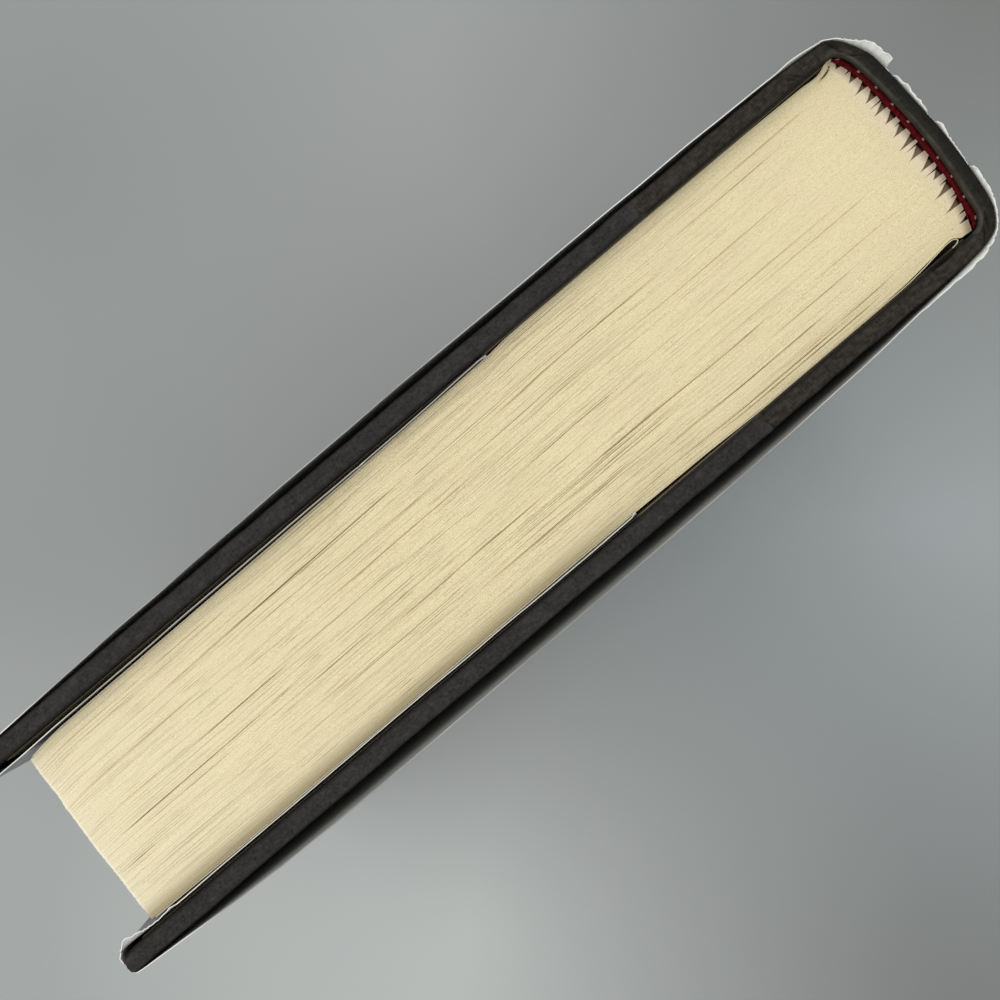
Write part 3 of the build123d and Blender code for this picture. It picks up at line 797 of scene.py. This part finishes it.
def thickened(name, points, thickness, pattern, outward):
    """A closed sheet whose outer side is the grid of points and whose inner side lies a thickness
    in, square to it. Outward is a grid of rough directions out of the piece."""
    normal = np.cross(np.gradient(points, axis=0), np.gradient(points, axis=1))
    normal /= np.maximum(np.linalg.norm(normal, axis=-1, keepdims=True), 1e-12)
    normal *= np.sign((normal * outward).sum())
    return shell(name, points, points - normal * thickness * 0.001, pattern)


def cloth_half(name, outer, inner, seed):
    """Half the cloth: the wrap profile carried along the plan from the spine's middle to the edge
    on the board, with small puckers at the head where it is turned in."""
    shares, heights = wrap_profile()
    run = distance_along(outer)[:, None]
    x, y = (inner[:, axis, None] + shares * (outer - inner)[:, axis, None] for axis in (0, 1))
    side = np.sign(outer[-1, 1])
    at_head = heights > middle_height
    to_edge = np.minimum(heights, cover_height - heights)
    ends = bell(to_edge, 1.6)
    pucker = 0.05 * (
        wander(run + shares * 1.3, 1.1, seed) + wander(run - shares * 2.0, 3.4, seed + 1)
    )
    at_spine = smooth((1.2 - inner[:, 0]) / 1.6)[:, None]
    x = x + 0.33 * at_spine * (1 - shares) * bell(to_edge, 2.0)
    tuck_shade = np.zeros_like(x)
    for tuck_x, tuck_y, lean, depth, width in tucks[name]:
        off = (x - tuck_x) + lean * (y - tuck_y)
        near = bell(np.hypot(x - tuck_x, y - tuck_y), 1.6)
        pucker = pucker - depth * bell(off, width) * near
        # Where a tuck sinks, its line is marked for painted shade.
        if depth > 0:
            tuck_shade = np.maximum(tuck_shade, bell(off, 0.7 * width) * near * ends)
    over_board = smooth((x + 1.2) / 0.8) if side < 0 else smooth((x - 0.2) / 0.6)
    over_inlay = smooth((13.4 - np.abs(y)) / 0.5) * (x < 0)
    pucker = np.maximum(pucker, -0.55 + 0.5 * np.maximum(over_board, over_inlay))
    # No ridge at the tail, which stands on the floor.
    pucker = np.where(at_head, pucker, np.minimum(pucker, 0))
    z = heights + np.where(at_head, 1, -1) * ends * pucker * 0.8
    y = y + side * ends * wander(run + heights / 9, 2.6, seed + 2) * 0.07
    centre = (outer + inner) / 2
    lift = 0.6 * ((shares > 0.001) & (shares < 0.999)) * np.sign(heights - middle_height)
    outward = together(x - centre[:, 0, None], y - centre[:, 1, None], lift)
    wrap = distance_along(together(heights, shares * (board_outer - board_inner)))
    pattern = together(run / 100, wrap / 100)
    piece = thickened(name, placed(x, y, z), cloth_thickness, pattern, outward)
    for mark_name, values in (("across", shares), ("spine", at_spine), ("tuck_shade", tuck_shade)):
        mark(piece, mark_name, np.tile(np.broadcast_to(values, x.shape).ravel(), 2))
    return piece


def paired_paths(outer_keys, inner_keys, pitch=0.16, reach=4):
    """Two plan paths with matching stations: straight between matching points, with as many
    stations to each stretch, and then rounded."""
    outer_keys, inner_keys = np.array(outer_keys, float), np.array(inner_keys, float)
    lengths = np.diff(distance_along(outer_keys))
    counts = np.maximum(2, np.minimum(lengths / pitch, 60).astype(int))
    share = np.concatenate([k + np.arange(n) / n for k, n in enumerate(counts)] + [[len(counts)]])
    number = np.arange(len(outer_keys))
    for keys in (outer_keys, inner_keys):
        path = together(*(np.interp(share, number, keys[:, axis]) for axis in (0, 1)))
        yield rounded(path, reach)


cloth = Finish("black book cloth", 0.85, Specular_IOR_Level=0.15)
warp = cloth.noise(cloth.sheet, (420, 60, 1), 2.0)
weft = cloth.noise(cloth.sheet, (60, 420, 1), 2.0)
weave = cloth.worked("MULTIPLY", warp, weft)
dust = cloth.noise(cloth.solid, (1100, 1500, 1100), 5.0)
scuff = cloth.noise(cloth.solid, (300, 700, 300), 4.0)
mottle = cloth.noise(cloth.solid, (500, 350, 500), 4.0)
across, by_spine, tuck_shade = (cloth.marked(name) for name in ("across", "spine", "tuck_shade"))
plan_x, plan_y, _ = cloth.axes(cloth.solid)
cloth.ground((29, 27, 23), (52, 48, 42), weave, 0.15, 0.4)
cloth.tint((74, 69, 61), (dust, 0.45, 0.75, 0, 0.6))
cloth.tint((66, 61, 54), (scuff, 0.5, 0.75, 0, 0.6))
# Painted shade on the outer side of the headcap over the spine.
cloth.tint((24, 22, 16), by_spine, (across, 0.4, 0.6, 0, 0.6))
cloth.tint((20, 20, 16), by_spine, (plan_y, -0.0138, -0.0118, 0, 0.45), (plan_y, 0.0128, 0.0112))
# Painted highlight, mottled, on the inner side of the headcap over the spine.
cloth.tint((82, 78, 70), by_spine, (across, 0.26, 0.1), (mottle, 0.35, 0.65, 0.1, 0.7))
# Painted shade on both sides of the rounded head edge over the boards, less over the spine.
rim_shade = cloth.worked("MAXIMUM", cloth.between(across, 0.22, 0.05), cloth.between(across, 0.86, 0.97))
cloth.tint((20, 15, 12), rim_shade, (by_spine, 0, 1, 0.75, 0))
# A round painted shadow beside the joint where the rear flyleaf curls: the squares of both distances
# from it, added up.
along = cloth.worked("POWER", cloth.between(plan_x, -0.0686, -0.0628, -1.0, 1.0), 2.0)
aside = cloth.worked("POWER", cloth.between(plan_y, 0.0143, 0.0152), 2.0)
curl_shadow_distance = cloth.worked("ADD", along, aside)
cloth.tint((8, 6, 4), (curl_shadow_distance, 0.95, 0.6), (plan_y, 0.0, 0.001))
# Painted shade in the tucks of the turned-in cloth.
cloth.tint((12, 10, 7), (tuck_shade, 0.25, 0.9, 0, 0.8))
book_cloth = cloth.complete(weave, 0.0001)

front_outer = (
    (-5.28, 0), (-5.17, -2.5), (-5.1, -6), (-4.93, -9.5), (-4.7, -12), (-4.2, -13.1),
    (-3.6, -14.2), (-2.9, -15.4), (-2.0, -16.4), (-1.2, -16.95), (0.5, -17.14), (2.5, -17.32),
    (4.5, -17.5), (6.5, -17.57), (32.4, -17.57),
)
front_inner = (
    (-3.61, 0), (-3.57, -2.5), (-3.39, -6), (-3.08, -9.3), (-2.78, -11.8), (-2.62, -12.8),
    (-2.3, -13.7), (-1.75, -14.5), (-1.1, -14.92), (-0.5, -15.03), (0.6, -14.97), (2.6, -14.92),
    (4.5, -14.91), (6.5, -14.91), (32.4, -14.91),
)
rear_outer = (
    (-5.28, 0), (-5.32, 1.5), (-5.2, 4), (-5.05, 6.5), (-4.9, 8.5), (-4.7, 10.3), (-4.5, 12),
    (-4.02, 14), (-3.43, 15), (-2.7, 16), (-2.0, 16.5), (-1.0, 16.88), (0.5, 17.2), (2.0, 17.4),
    (3.5, 17.57), (38.2, 17.57),
)
rear_inner = (
    (-3.61, 0), (-3.59, 1.5), (-3.47, 4), (-3.24, 6.5), (-2.98, 8.5), (-2.72, 10.3), (-2.5, 12),
    (-2.3, 13.3), (-1.95, 14.1), (-1.45, 14.65), (-0.8, 14.95), (0.1, 15.03), (1.0, 14.98),
    (2.2, 14.93), (3.5, 14.91), (38.2, 14.91),
)
for name, outer, inner, seed, strip, cover, (start, end) in (
    ("front_case_cloth", front_outer, front_inner, 31,
     "front_cloth_strip", "front_cover", front_joint),
    ("rear_case_cloth", rear_outer, rear_inner, 35,
     "rear_cloth_strip", "rear_cover", rear_joint),
):
    half = cloth_half(name, *paired_paths(outer, inner), seed)
    half.data.materials.append(book_cloth)
    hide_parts("spine_cloth", strip)
    tuple(placed(*start, middle_height))
    tuple(placed(*end, middle_height))
    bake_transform(half)


# Side papers. Plain black paper over the rest of each board, lapped on the cloth's edge, and turned
# in at head, tail and fore-edge with folded corners. Its head edge is rubbed and a little uneven.
paper_thickness = 0.18
corner_radius = 0.45


def rim_ring(x_seam, x_fore, inset):
    """A path round a board's rim at an inset, from the seam at the tail, round both fore corners,
    to the seam at the head: straight runs joined by quarter circles."""
    corner = max(corner_radius - inset, 0.2)
    x_to = x_fore - inset - corner
    low, high = inset + corner, cover_height - inset - corner
    quarter = np.linspace(0, np.pi / 2, 7)[1:-1]
    sine, cosine = corner * np.sin(quarter), corner * np.cos(quarter)
    return together(
        np.concatenate((
            np.linspace(x_seam, x_to, 40), x_to + sine, np.full(60, x_to + corner), x_to + cosine,
            np.linspace(x_to, x_seam, 230),
        )),
        np.concatenate((
            np.full(40, inset), low - cosine, np.linspace(low, high, 60), high + sine,
            np.full(230, cover_height - inset),
        )),
    )


def side_sheet(name, side, x_seam, x_fore, seed):
    """A board's side paper: rim rings from the middle of the outer face, where they close to a
    line, out over the rounded rim and in over the inner face as far as the turn-in."""
    half = (board_outer - board_inner) / 2
    share, fall = rounded_edge()
    outside = (middle_height - 0.01, 90, 60, 35, 18, 9, 4.5, 2.4, 1.3)
    inside = (1.3, 2.4, 5, 9, 12, turned_in)
    insets = np.concatenate((outside, edge_drop * fall, inside))
    rim_y = board_outer - share * 2 * half
    levels = np.concatenate((
        np.full(len(outside), board_outer), rim_y, np.full(len(inside), board_inner),
    ))
    rings = np.array([rim_ring(x_seam, x_fore, inset) for inset in insets])
    x, z = rings[..., 0], rings[..., 1]
    y = side * levels[:, None]
    across = (levels[:, None] - board_inner) / (2 * half)
    at_rim = bell(insets, 1.4)[:, None]
    updown = np.sign(z - middle_height)
    rough = 0.035 * wander(x + across * 2, 1.7, seed) + 0.04 * wander(x, 9.0, seed + 1)
    # Nothing of it goes below the floor.
    z = np.maximum(z + updown * at_rim * rough, 0.0)
    rough = 0.06 * wander(x + z / 9, 4.2, seed + 2) + 0.02 * wander(x, 1.3, seed + 3)
    y = y + side * at_rim * rough
    x = x - tip_wear(x, y, z, x_fore)
    outward = together(
        0.8 * (x > x_fore - 2.5),
        (y - side * (board_inner + half)) / half,
        0.8 * updown * (at_rim > 0.3),
    )
    wrap = distance_along(together(insets, levels))[:, None]
    pattern = together((x + z) / 100, wrap / 100)
    piece = thickened(name, placed(x, y, z), paper_thickness, pattern, outward)
    mark(piece, "across", np.tile(np.broadcast_to(across, x.shape).ravel(), 2))
    return piece


side_paper = Finish("black side paper", 0.8, Specular_IOR_Level=0.15)
grain = side_paper.noise(side_paper.solid, (2200, 2600, 2200), 4.0)
dust = side_paper.noise(side_paper.solid, (900, 1200, 900), 4.0)
scuff = side_paper.noise(side_paper.solid, (250, 450, 250), 4.0)
across = side_paper.marked("across")
plan_x, plan_y, _ = side_paper.axes(side_paper.solid)
side_paper.ground((27, 26, 26), (53, 50, 49), grain)
side_paper.tint((74, 70, 66), (dust, 0.48, 0.78, 0, 0.5))
side_paper.tint((62, 59, 55), (scuff, 0.5, 0.75, 0, 0.5))
# Painted shade on both sides of the board's rounded edge.
rim_shade = side_paper.worked(
    "MAXIMUM",
    side_paper.between(across, 0.2, 0.05, 0, 0.7),
    side_paper.between(across, 0.86, 0.97, 0, 0.7),
)
side_paper.tint((20, 16, 13), rim_shade)
# A lighter and a dark line at the seam, which lies 5.75 nearer the spine on the front board.
front_shift = side_paper.between(plan_y, -0.001, 0.001, 0.00575, 0.0)
from_seam = side_paper.worked("ADD", plan_x, front_shift)
side_paper.tint((74, 71, 68), (from_seam, -0.0318, -0.0346, 0, 0.3))
side_paper.tint((16, 14, 13), (from_seam, -0.0341, -0.0344, 0, 0.7))
black_paper = side_paper.complete(grain, 0.00008)
for side, name, cover, seam, fore in (
    (-1, "front_side_paper", "front_cover", 30.95, front_fore),
    (1, "rear_side_paper", "rear_cover", 36.7, rear_fore),
):
    sheet = side_sheet(name + "_wrap", side, seam, fore, 51 + side)
    sheet.data.materials.append(black_paper)
    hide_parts(name)
    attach(sheet, cover)


# Dust jacket. One sheet of white paper, printed plain black and varnished on the outside, wrapped
# round the case with a flap folded in over each fore-edge. It is drawn here in two halves that
# meet on the middle of the spine. Its head edge is torn and flared round the spine.
jacket_sheet = 0.13
jacket_head = 216.2
jacket_depths = np.array((
    0, 0.12, 0.3, 0.55, 0.9, 1.4, 2.1, 3.2, 5, 9, 20, 45, 80, 120, 160, 195, 209, 213, 215, 215.7,
))


def jacket_half(name, path, flare, torn, fringe, swung, seed):
    """Half the jacket: a sheet that stands on a plan path. Near the head it leans out by the flare
    at each station, less by a bell curve of the depth, and swings out over a longer run, and its
    edge is torn down and frayed."""
    run = distance_along(path)
    left = side_of_path(path)
    out = left * np.sign((left[len(path) // 8] * (path[len(path) // 8] - (70, 0))).sum())
    frayed = fringe * (wander(run, 0.35, seed) * 0.5 + wander(run, 0.9, seed + 1) * 0.5)
    lost = torn + np.abs(frayed) * 0.35 + 0.05 * (1 + wander(run, 5.0, seed + 2))
    columns = (run, flare, frayed, lost, swung)
    run, flare, frayed, lost, swung = (values[:, None] for values in columns)
    depth = jacket_depths
    lean = (flare + frayed * 0.25) * bell(depth, 0.35 + 0.6 * np.abs(flare))
    lean = lean + swung * np.exp(-depth / 6)
    ripple = 0.05 * wander(run + depth * 0.4, 7.0, seed + 3) * np.exp(-depth / 8)
    z = jacket_head - np.where(depth > 0, np.maximum(depth, lost + depth * 0.04), lost)
    z = np.maximum.accumulate(z[:, ::-1], axis=1)[:, ::-1]
    sides = [off_path(path, out, lean + ripple + off, z) for off in (jacket_sheet, 0.0)]
    return shell(name, *sides, together(run / 100, z / 100), 0, 1, 2)


def jacket_path(side, spine, panel, x_fore, flap):
    """The plan of a half jacket's inner face: the spine, the panel bowed off the board, the fold
    round the fore-edge, and the flap. Stations are close at the spine and the fold."""
    fold = (
        (x_fore - 0.6, side * (board_outer + 0.3)), (x_fore + 0.05, side * 17.35),
        (x_fore + 0.12, side * 16.6), (x_fore + 0.12, side * 15.6), (x_fore, side * 14.9),
        (x_fore - 0.7, flap[0][1]),
    )
    return np.concatenate((
        smooth_path(spine + panel[:1], 330, 0.5),
        smooth_path(panel, 150, 9.0)[1:],
        smooth_path(panel[-1:] + fold + flap[:1], 150, 0.5)[1:],
        smooth_path(flap, 420, 0.6)[1:],
    ))


def along_spine(path, table):
    """A value at each station of a jacket path from a table of y and value, held as far as the
    panel and nothing beyond it."""
    y, value = np.array(table, float).T
    order = np.argsort(y)
    return np.where(path[:, 0] < 12, np.interp(path[:, 1], y[order], value[order]), 0.0)


printed = Finish("varnished black print", 0.32, Coat_Weight=0.3, Coat_Roughness=0.25)
rub = printed.noise(printed.sheet, (30, 30, 1), 6.0)
scratch = printed.noise(printed.sheet, (9, 260, 1))
smudge = printed.noise(printed.solid, (22, 22, 14), 5.0)
fleck = printed.noise(printed.solid, 900)
plan_x, _, plan_z = printed.axes(printed.solid)
sheen = printed.worked("ADD", rub, smudge)
printed.put(printed.shader.inputs["Roughness"], printed.between(sheen, 0.75, 1.3, 0.24, 0.5))
printed.ground((17, 17, 19), (40, 39, 41), rub, 0.3, 0.75)
printed.tint((54, 53, 53), (smudge, 0.48, 0.72, 0, 0.45))
printed.tint((120, 118, 114), (fleck, 0.74, 0.8, 0, 0.6))
printed.tint((88, 87, 88), (scratch, 0.66, 0.74, 0, 0.25))
at_edges = printed.worked(
    "MAXIMUM",
    printed.between(plan_z, 0.2148, 0.2162, 0, 0.42),
    printed.between(plan_z, 0.0018, 0.0004, 0, 0.36),
    printed.between(plan_x, 0.0746, 0.0762, 0, 0.24),
)
printed.tint((214, 212, 204), (printed.worked("ADD", rub, at_edges), 0.86, 0.93))

bare = Finish("bare jacket paper", 0.8)
fibre = bare.noise(bare.solid, 800, 5.0)
plan_x, plan_y, plan_z = bare.axes(bare.solid)
bare.ground((222, 222, 214), (242, 242, 236), fibre)
# Painted shade on the inner face of the rear panel near the head, from a little way off the spine,
# where it faces the board.
bare.tint(
    (150, 149, 144),
    (plan_x, -0.060, -0.045, 0, 0.75), (plan_y, 0.0164, 0.017), (plan_z, 0.200, 0.212),
)

# Along both panels the cut edge is dulled by ink and dust, on the flaps it is dulled evenly, and
# round the spine and the folds it stays white.
cut_edge = Finish("cut edge of the jacket", 0.85)
edge_fibre = cut_edge.noise(cut_edge.solid, 800, 5.0)
inked = cut_edge.noise(cut_edge.solid, 45)
plan_x, plan_y, _ = cut_edge.axes(cut_edge.solid)
front_run = cut_edge.worked(
    "MULTIPLY",
    cut_edge.between(plan_x, -0.04, -0.005), cut_edge.between(plan_y, -0.0168, -0.0172),
)
rear_run = cut_edge.worked(
    "MULTIPLY",
    cut_edge.between(plan_x, -0.064, -0.03), cut_edge.between(plan_y, 0.0168, 0.0172, 0, 1.25),
)
cut_edge.ground((226, 226, 220), (246, 246, 240), edge_fibre)
cut_edge.tint(
    (96, 96, 93),
    cut_edge.worked("ADD", front_run, rear_run),
    (plan_x, 0.068, 0.060, 0, 0.8), (inked, 0.3, 0.7, 0.6, 1.0),
)
cut_edge.tint(
    (120, 112, 104),
    (plan_y, 0.001, -0.001, 0.3, 0.6), (plan_y, -0.0164, -0.0158), (plan_y, 0.0158, 0.0150),
    (plan_x, -0.02, -0.016), (plan_x, 0.066, 0.058),
)
jacket_materials = (
    printed.complete(rub, 0.00006), bare.complete(fibre, 0.00005), cut_edge.complete(),
)

front_spine = (
    (-5.42, 0), (-5.36, -1.2), (-5.3, -2.5), (-5.23, -6), (-5.06, -9.5), (-4.83, -12.05),
    (-4.32, -13.2), (-3.7, -14.3), (-3.0, -15.5), (-2.1, -16.5), (-1.25, -17.06),
)
front_panel = (
    (0.5, -17.26), (2.0, -17.4), (5.0, -17.68), (7.0, -17.82), (10.0, -17.97), (14.0, -18.08),
    (18.6, -18.2), (36.0, -18.4), (53.6, -18.6), (71.2, -18.75), (88.7, -18.72), (106.2, -18.55),
    (123.8, -18.35), (137.0, -18.0), (145.0, -17.78),
)
front_flap = (
    (140.4, -13.97), (120.0, -14.1), (100.0, -14.18), (75.0, -14.3), (62.0, -14.52), (59.6, -14.58),
)
rear_spine = (
    (-5.42, 0), (-5.44, 1.5), (-5.33, 4), (-5.18, 6.5), (-5.03, 8.5), (-4.83, 10.3), (-4.63, 12),
    (-4.15, 14.07), (-3.53, 15.1), (-2.78, 16.12), (-2.05, 16.63), (-1.0, 17.0),
)
rear_panel = (
    (0.5, 17.3), (2.0, 17.5), (3.5, 17.7), (6.0, 17.82), (10.0, 17.95), (18.6, 18.15),
    (36.0, 18.4), (53.6, 18.5), (71.2, 18.6), (88.7, 18.6), (106.2, 18.6), (123.8, 18.5),
    (137.0, 18.2), (146.4, 17.82),
)
rear_flap = ((142.0, 14.32), (136.0, 14.28), (100.0, 14.28), (75.0, 14.4), (58.0, 14.44))
front_line = jacket_path(-1, front_spine, front_panel, front_fore, front_flap)
rear_line = jacket_path(1, rear_spine, rear_panel, rear_fore, rear_flap)
front_at, rear_at = front_line[:, 0], rear_line[:, 0]
on_front_flap = (front_line[:, 1] > -15.2) & (front_at > 50)
on_rear_flap = (rear_line[:, 1] < 15.2) & (rear_at > 50)

# Flare and tear round the spine head, as y and how far. The edge stands out most on both sides
# of the middle and at the joints.
front_flare = along_spine(front_line, (
    (0, 0.0), (-0.9, 0.0), (-1.3, 0.12), (-2.0, 0.25), (-3.0, 0.4), (-4.0, 0.48), (-5.0, 0.6),
    (-6.0, 0.5), (-7.0, 0.38), (-7.6, 0.2), (-8.0, 0.05), (-9.15, 0.02), (-9.35, 1.35),
    (-10.0, 1.45), (-11.0, 1.32), (-12.0, 1.2), (-13.0, 1.1), (-14.0, 0.68), (-14.8, 0.34),
    (-15.6, 0.2), (-16.6, 0.12), (-17.0, 0.08), (-17.25, 0.16), (-17.45, 0.34), (-17.6, 0.3),
    (-17.72, 0.1), (-18.0, 0.02),
))
front_torn = along_spine(front_line, (
    (0, 0.9), (-0.9, 0.9), (-1.3, 0.2), (-2, 0.1), (-7.4, 0.15), (-7.9, 0.7), (-9.15, 0.8),
    (-9.3, 0.05), (-13, 0.1), (-17.9, 0.05),
))
rear_flare = along_spine(rear_line, (
    (0, 0.0), (0.35, 0.0), (0.6, 0.42), (1.5, 0.48), (2.1, 0.3), (3.0, 0.16), (4.5, 0.1),
    (7.0, 0.1), (7.9, 0.02), (8.15, 0.7), (9.0, 0.55), (10.0, 0.55), (12.0, 0.5), (13.0, 0.4),
    (14.0, 0.14), (15.6, 0.12), (16.4, 0.18), (16.9, 0.35), (17.2, 0.6), (17.45, 0.68),
    (17.65, 0.6), (17.8, 0.42), (17.9, 0.24), (18.05, 0.08), (18.3, 0.0),
))
rear_torn = along_spine(rear_line, (
    (0, 0.9), (0.35, 0.9), (0.6, 0.1), (2.5, 0.1), (7.6, 0.2), (7.9, 0.5), (8.15, 0.1),
    (13, 0.15), (18, 0.1),
))

# The flaps: the front one is torn down over a short run, and the end and the fold of the rear
# one are flared and crumpled. x and how far.
flap_tear = smooth((82.0 - front_at) / 0.8) * smooth((front_at - 61.0) / 0.8)
front_torn = front_torn + on_front_flap * 0.5 * flap_tear
flap_flare = 0.12 * bell(front_at - 81.6, 0.7) + 0.22 * bell(front_at - 59.8, 0.6)
front_flare = front_flare + on_front_flap * flap_flare
rear_tab = np.array((
    (57.9, 0.32), (58.4, 0.22), (58.8, 0.03), (59.5, 0.0), (137.4, 0.0), (138.4, 0.25),
    (139.6, 0.12), (140.6, 0.02), (142.6, 0.2), (143.6, 0.42), (144.6, 0.62), (145.6, 0.92),
    (146.3, 0.85), (146.8, 0.35), (147.4, 0.1),
))
rear_flare = rear_flare + on_rear_flap * np.interp(rear_at, *rear_tab.T)
fold_tear = smooth((rear_at - 147.3) / 0.6) * smooth((rear_line[:, 1] - 15.5) / 1.0)
rear_torn = rear_torn + 1.2 * fold_tear

# The rear panel swings off the board, most along its middle. x and how far.
rear_lean = np.array((
    (0.5, 0.0), (10.0, 0.25), (18.6, 0.6), (36.0, 0.98), (53.6, 1.1), (71.2, 1.15), (106.2, 1.1),
    (123.8, 0.85), (137.0, 0.35), (146.4, 0.0), (147.2, -0.2), (148.1, -0.3),
))
swings = (rear_line[:, 1] > 17.2) | (rear_at > 147.2)
rear_swung = np.where(swings, np.interp(rear_at, *rear_lean.T), 0.0)
front_swung = np.zeros(len(front_line))
front_fringe = np.where(front_at < 3, 0.75, 0.06)
rear_fringe = np.where(rear_at < 8, 0.85, 0.06)
rear_fringe = rear_fringe + 0.6 * on_rear_flap * smooth((rear_at - 137.5) / 3.0)
for name, shape, seed, panel_node, cover, (start, end) in (
    ("jacket_front_half", (front_line, front_flare, front_torn, front_fringe, front_swung), 70,
     "jacket_front", "front_cover", front_joint),
    ("jacket_rear_half", (rear_line, rear_flare, rear_torn, rear_fringe, rear_swung), 80,
     "jacket_rear", "rear_cover", rear_joint),
):
    half = jacket_half(name, *shape, seed)
    for material in jacket_materials:
        half.data.materials.append(material)
    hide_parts("jacket_spine", panel_node)
    tuple(placed(*start, middle_height))
    tuple(placed(*end, middle_height))
    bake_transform(half)


# Floor, light and camera. A pale floor with painted pools of light and shade, one broad soft lamp
# above and an even grey sky. The camera looks straight down on the head from 300 mm above it.
camera_place = (-0.0008, 0.0009, 0.5164)
camera_turn = math.radians(139.6)
floor_step = 0.0002265

# The floor carries broad soft patches of painted light and painted shade: each a place in the
# picture, in thousandths across and down, a reach in metres, a share, and the tone it draws towards.
painted_floor_patches = (
    (480, 930, 0.1, 0.9, (205, 208, 204)), (930, 520, 0.1, 0.75, (188, 195, 195)),
    (400, 170, 0.08, 0.5, (178, 180, 176)), (20, 150, 0.12, 0.7, (140, 144, 141)),
    (10, 560, 0.06, 0.4, (140, 143, 140)), (990, -30, 0.13, 0.7, (106, 108, 103)),
    (985, 1030, 0.12, 0.7, (108, 110, 109)),
)


def floor_place(across, down):
    """Where a place of the picture lies on the floor: its distances from the middle, turned with
    the camera, and one floor step long to each thousandth."""
    right, below = (across - 500) * floor_step, (down - 500) * floor_step
    cosine, sine = math.cos(camera_turn), math.sin(camera_turn)
    x = camera_place[0] + right * cosine + below * sine
    return x, camera_place[1] + right * sine - below * cosine, 0.0


pale_floor = Finish("pale grey floor", 0.6, Specular_IOR_Level=0.3)
pale_floor.colour = tone(164, 167, 165)
for across, down, reach, share, towards in painted_floor_patches:
    apart = {0: pale_floor.solid, 1: floor_place(across, down)}
    away = pale_floor.node("ShaderNodeVectorMath", apart, operation="DISTANCE").outputs["Value"]
    pale_floor.tint(towards, (away, reach, 0.0, 0, share))
bpy.ops.mesh.primitive_plane_add(size=6.0, location=(0, 0, -0.0002))
floor = bpy.context.object
floor.name = "floor"
floor.data.materials.append(pale_floor.complete())

world = bpy.data.worlds.new("studio")
bpy.context.scene.world = world
world.use_nodes = True
sky = world.node_tree.nodes["Background"]
sky.inputs["Color"].default_value = (0.93, 0.96, 1.0, 1.0)
sky.inputs["Strength"].default_value = 0.55

lamp = bpy.data.lights.new("soft lamp", "AREA")
lamp.shape = "SQUARE"
lamp.size = 1.4
lamp.energy = 14.0
lamp.color = (1.0, 0.985, 0.96)
lamp_holder = bpy.data.objects.new("soft lamp", lamp)
lamp_holder.location = (0.35, -0.25, 1.5)
lamp_holder.rotation_euler = (math.radians(9), math.radians(13), 0)
bpy.context.scene.collection.objects.link(lamp_holder)

lens = bpy.data.cameras.new("camera")
lens.lens = 82.12
lens.sensor_width = 36.0
lens.clip_start = 0.01
camera = bpy.data.objects.new("camera", lens)
camera.location = camera_place
camera.rotation_euler = (0, 0, camera_turn)
bpy.context.scene.collection.objects.link(camera)
bpy.context.scene.camera = camera
bpy.context.scene.view_settings.view_transform = "Standard"
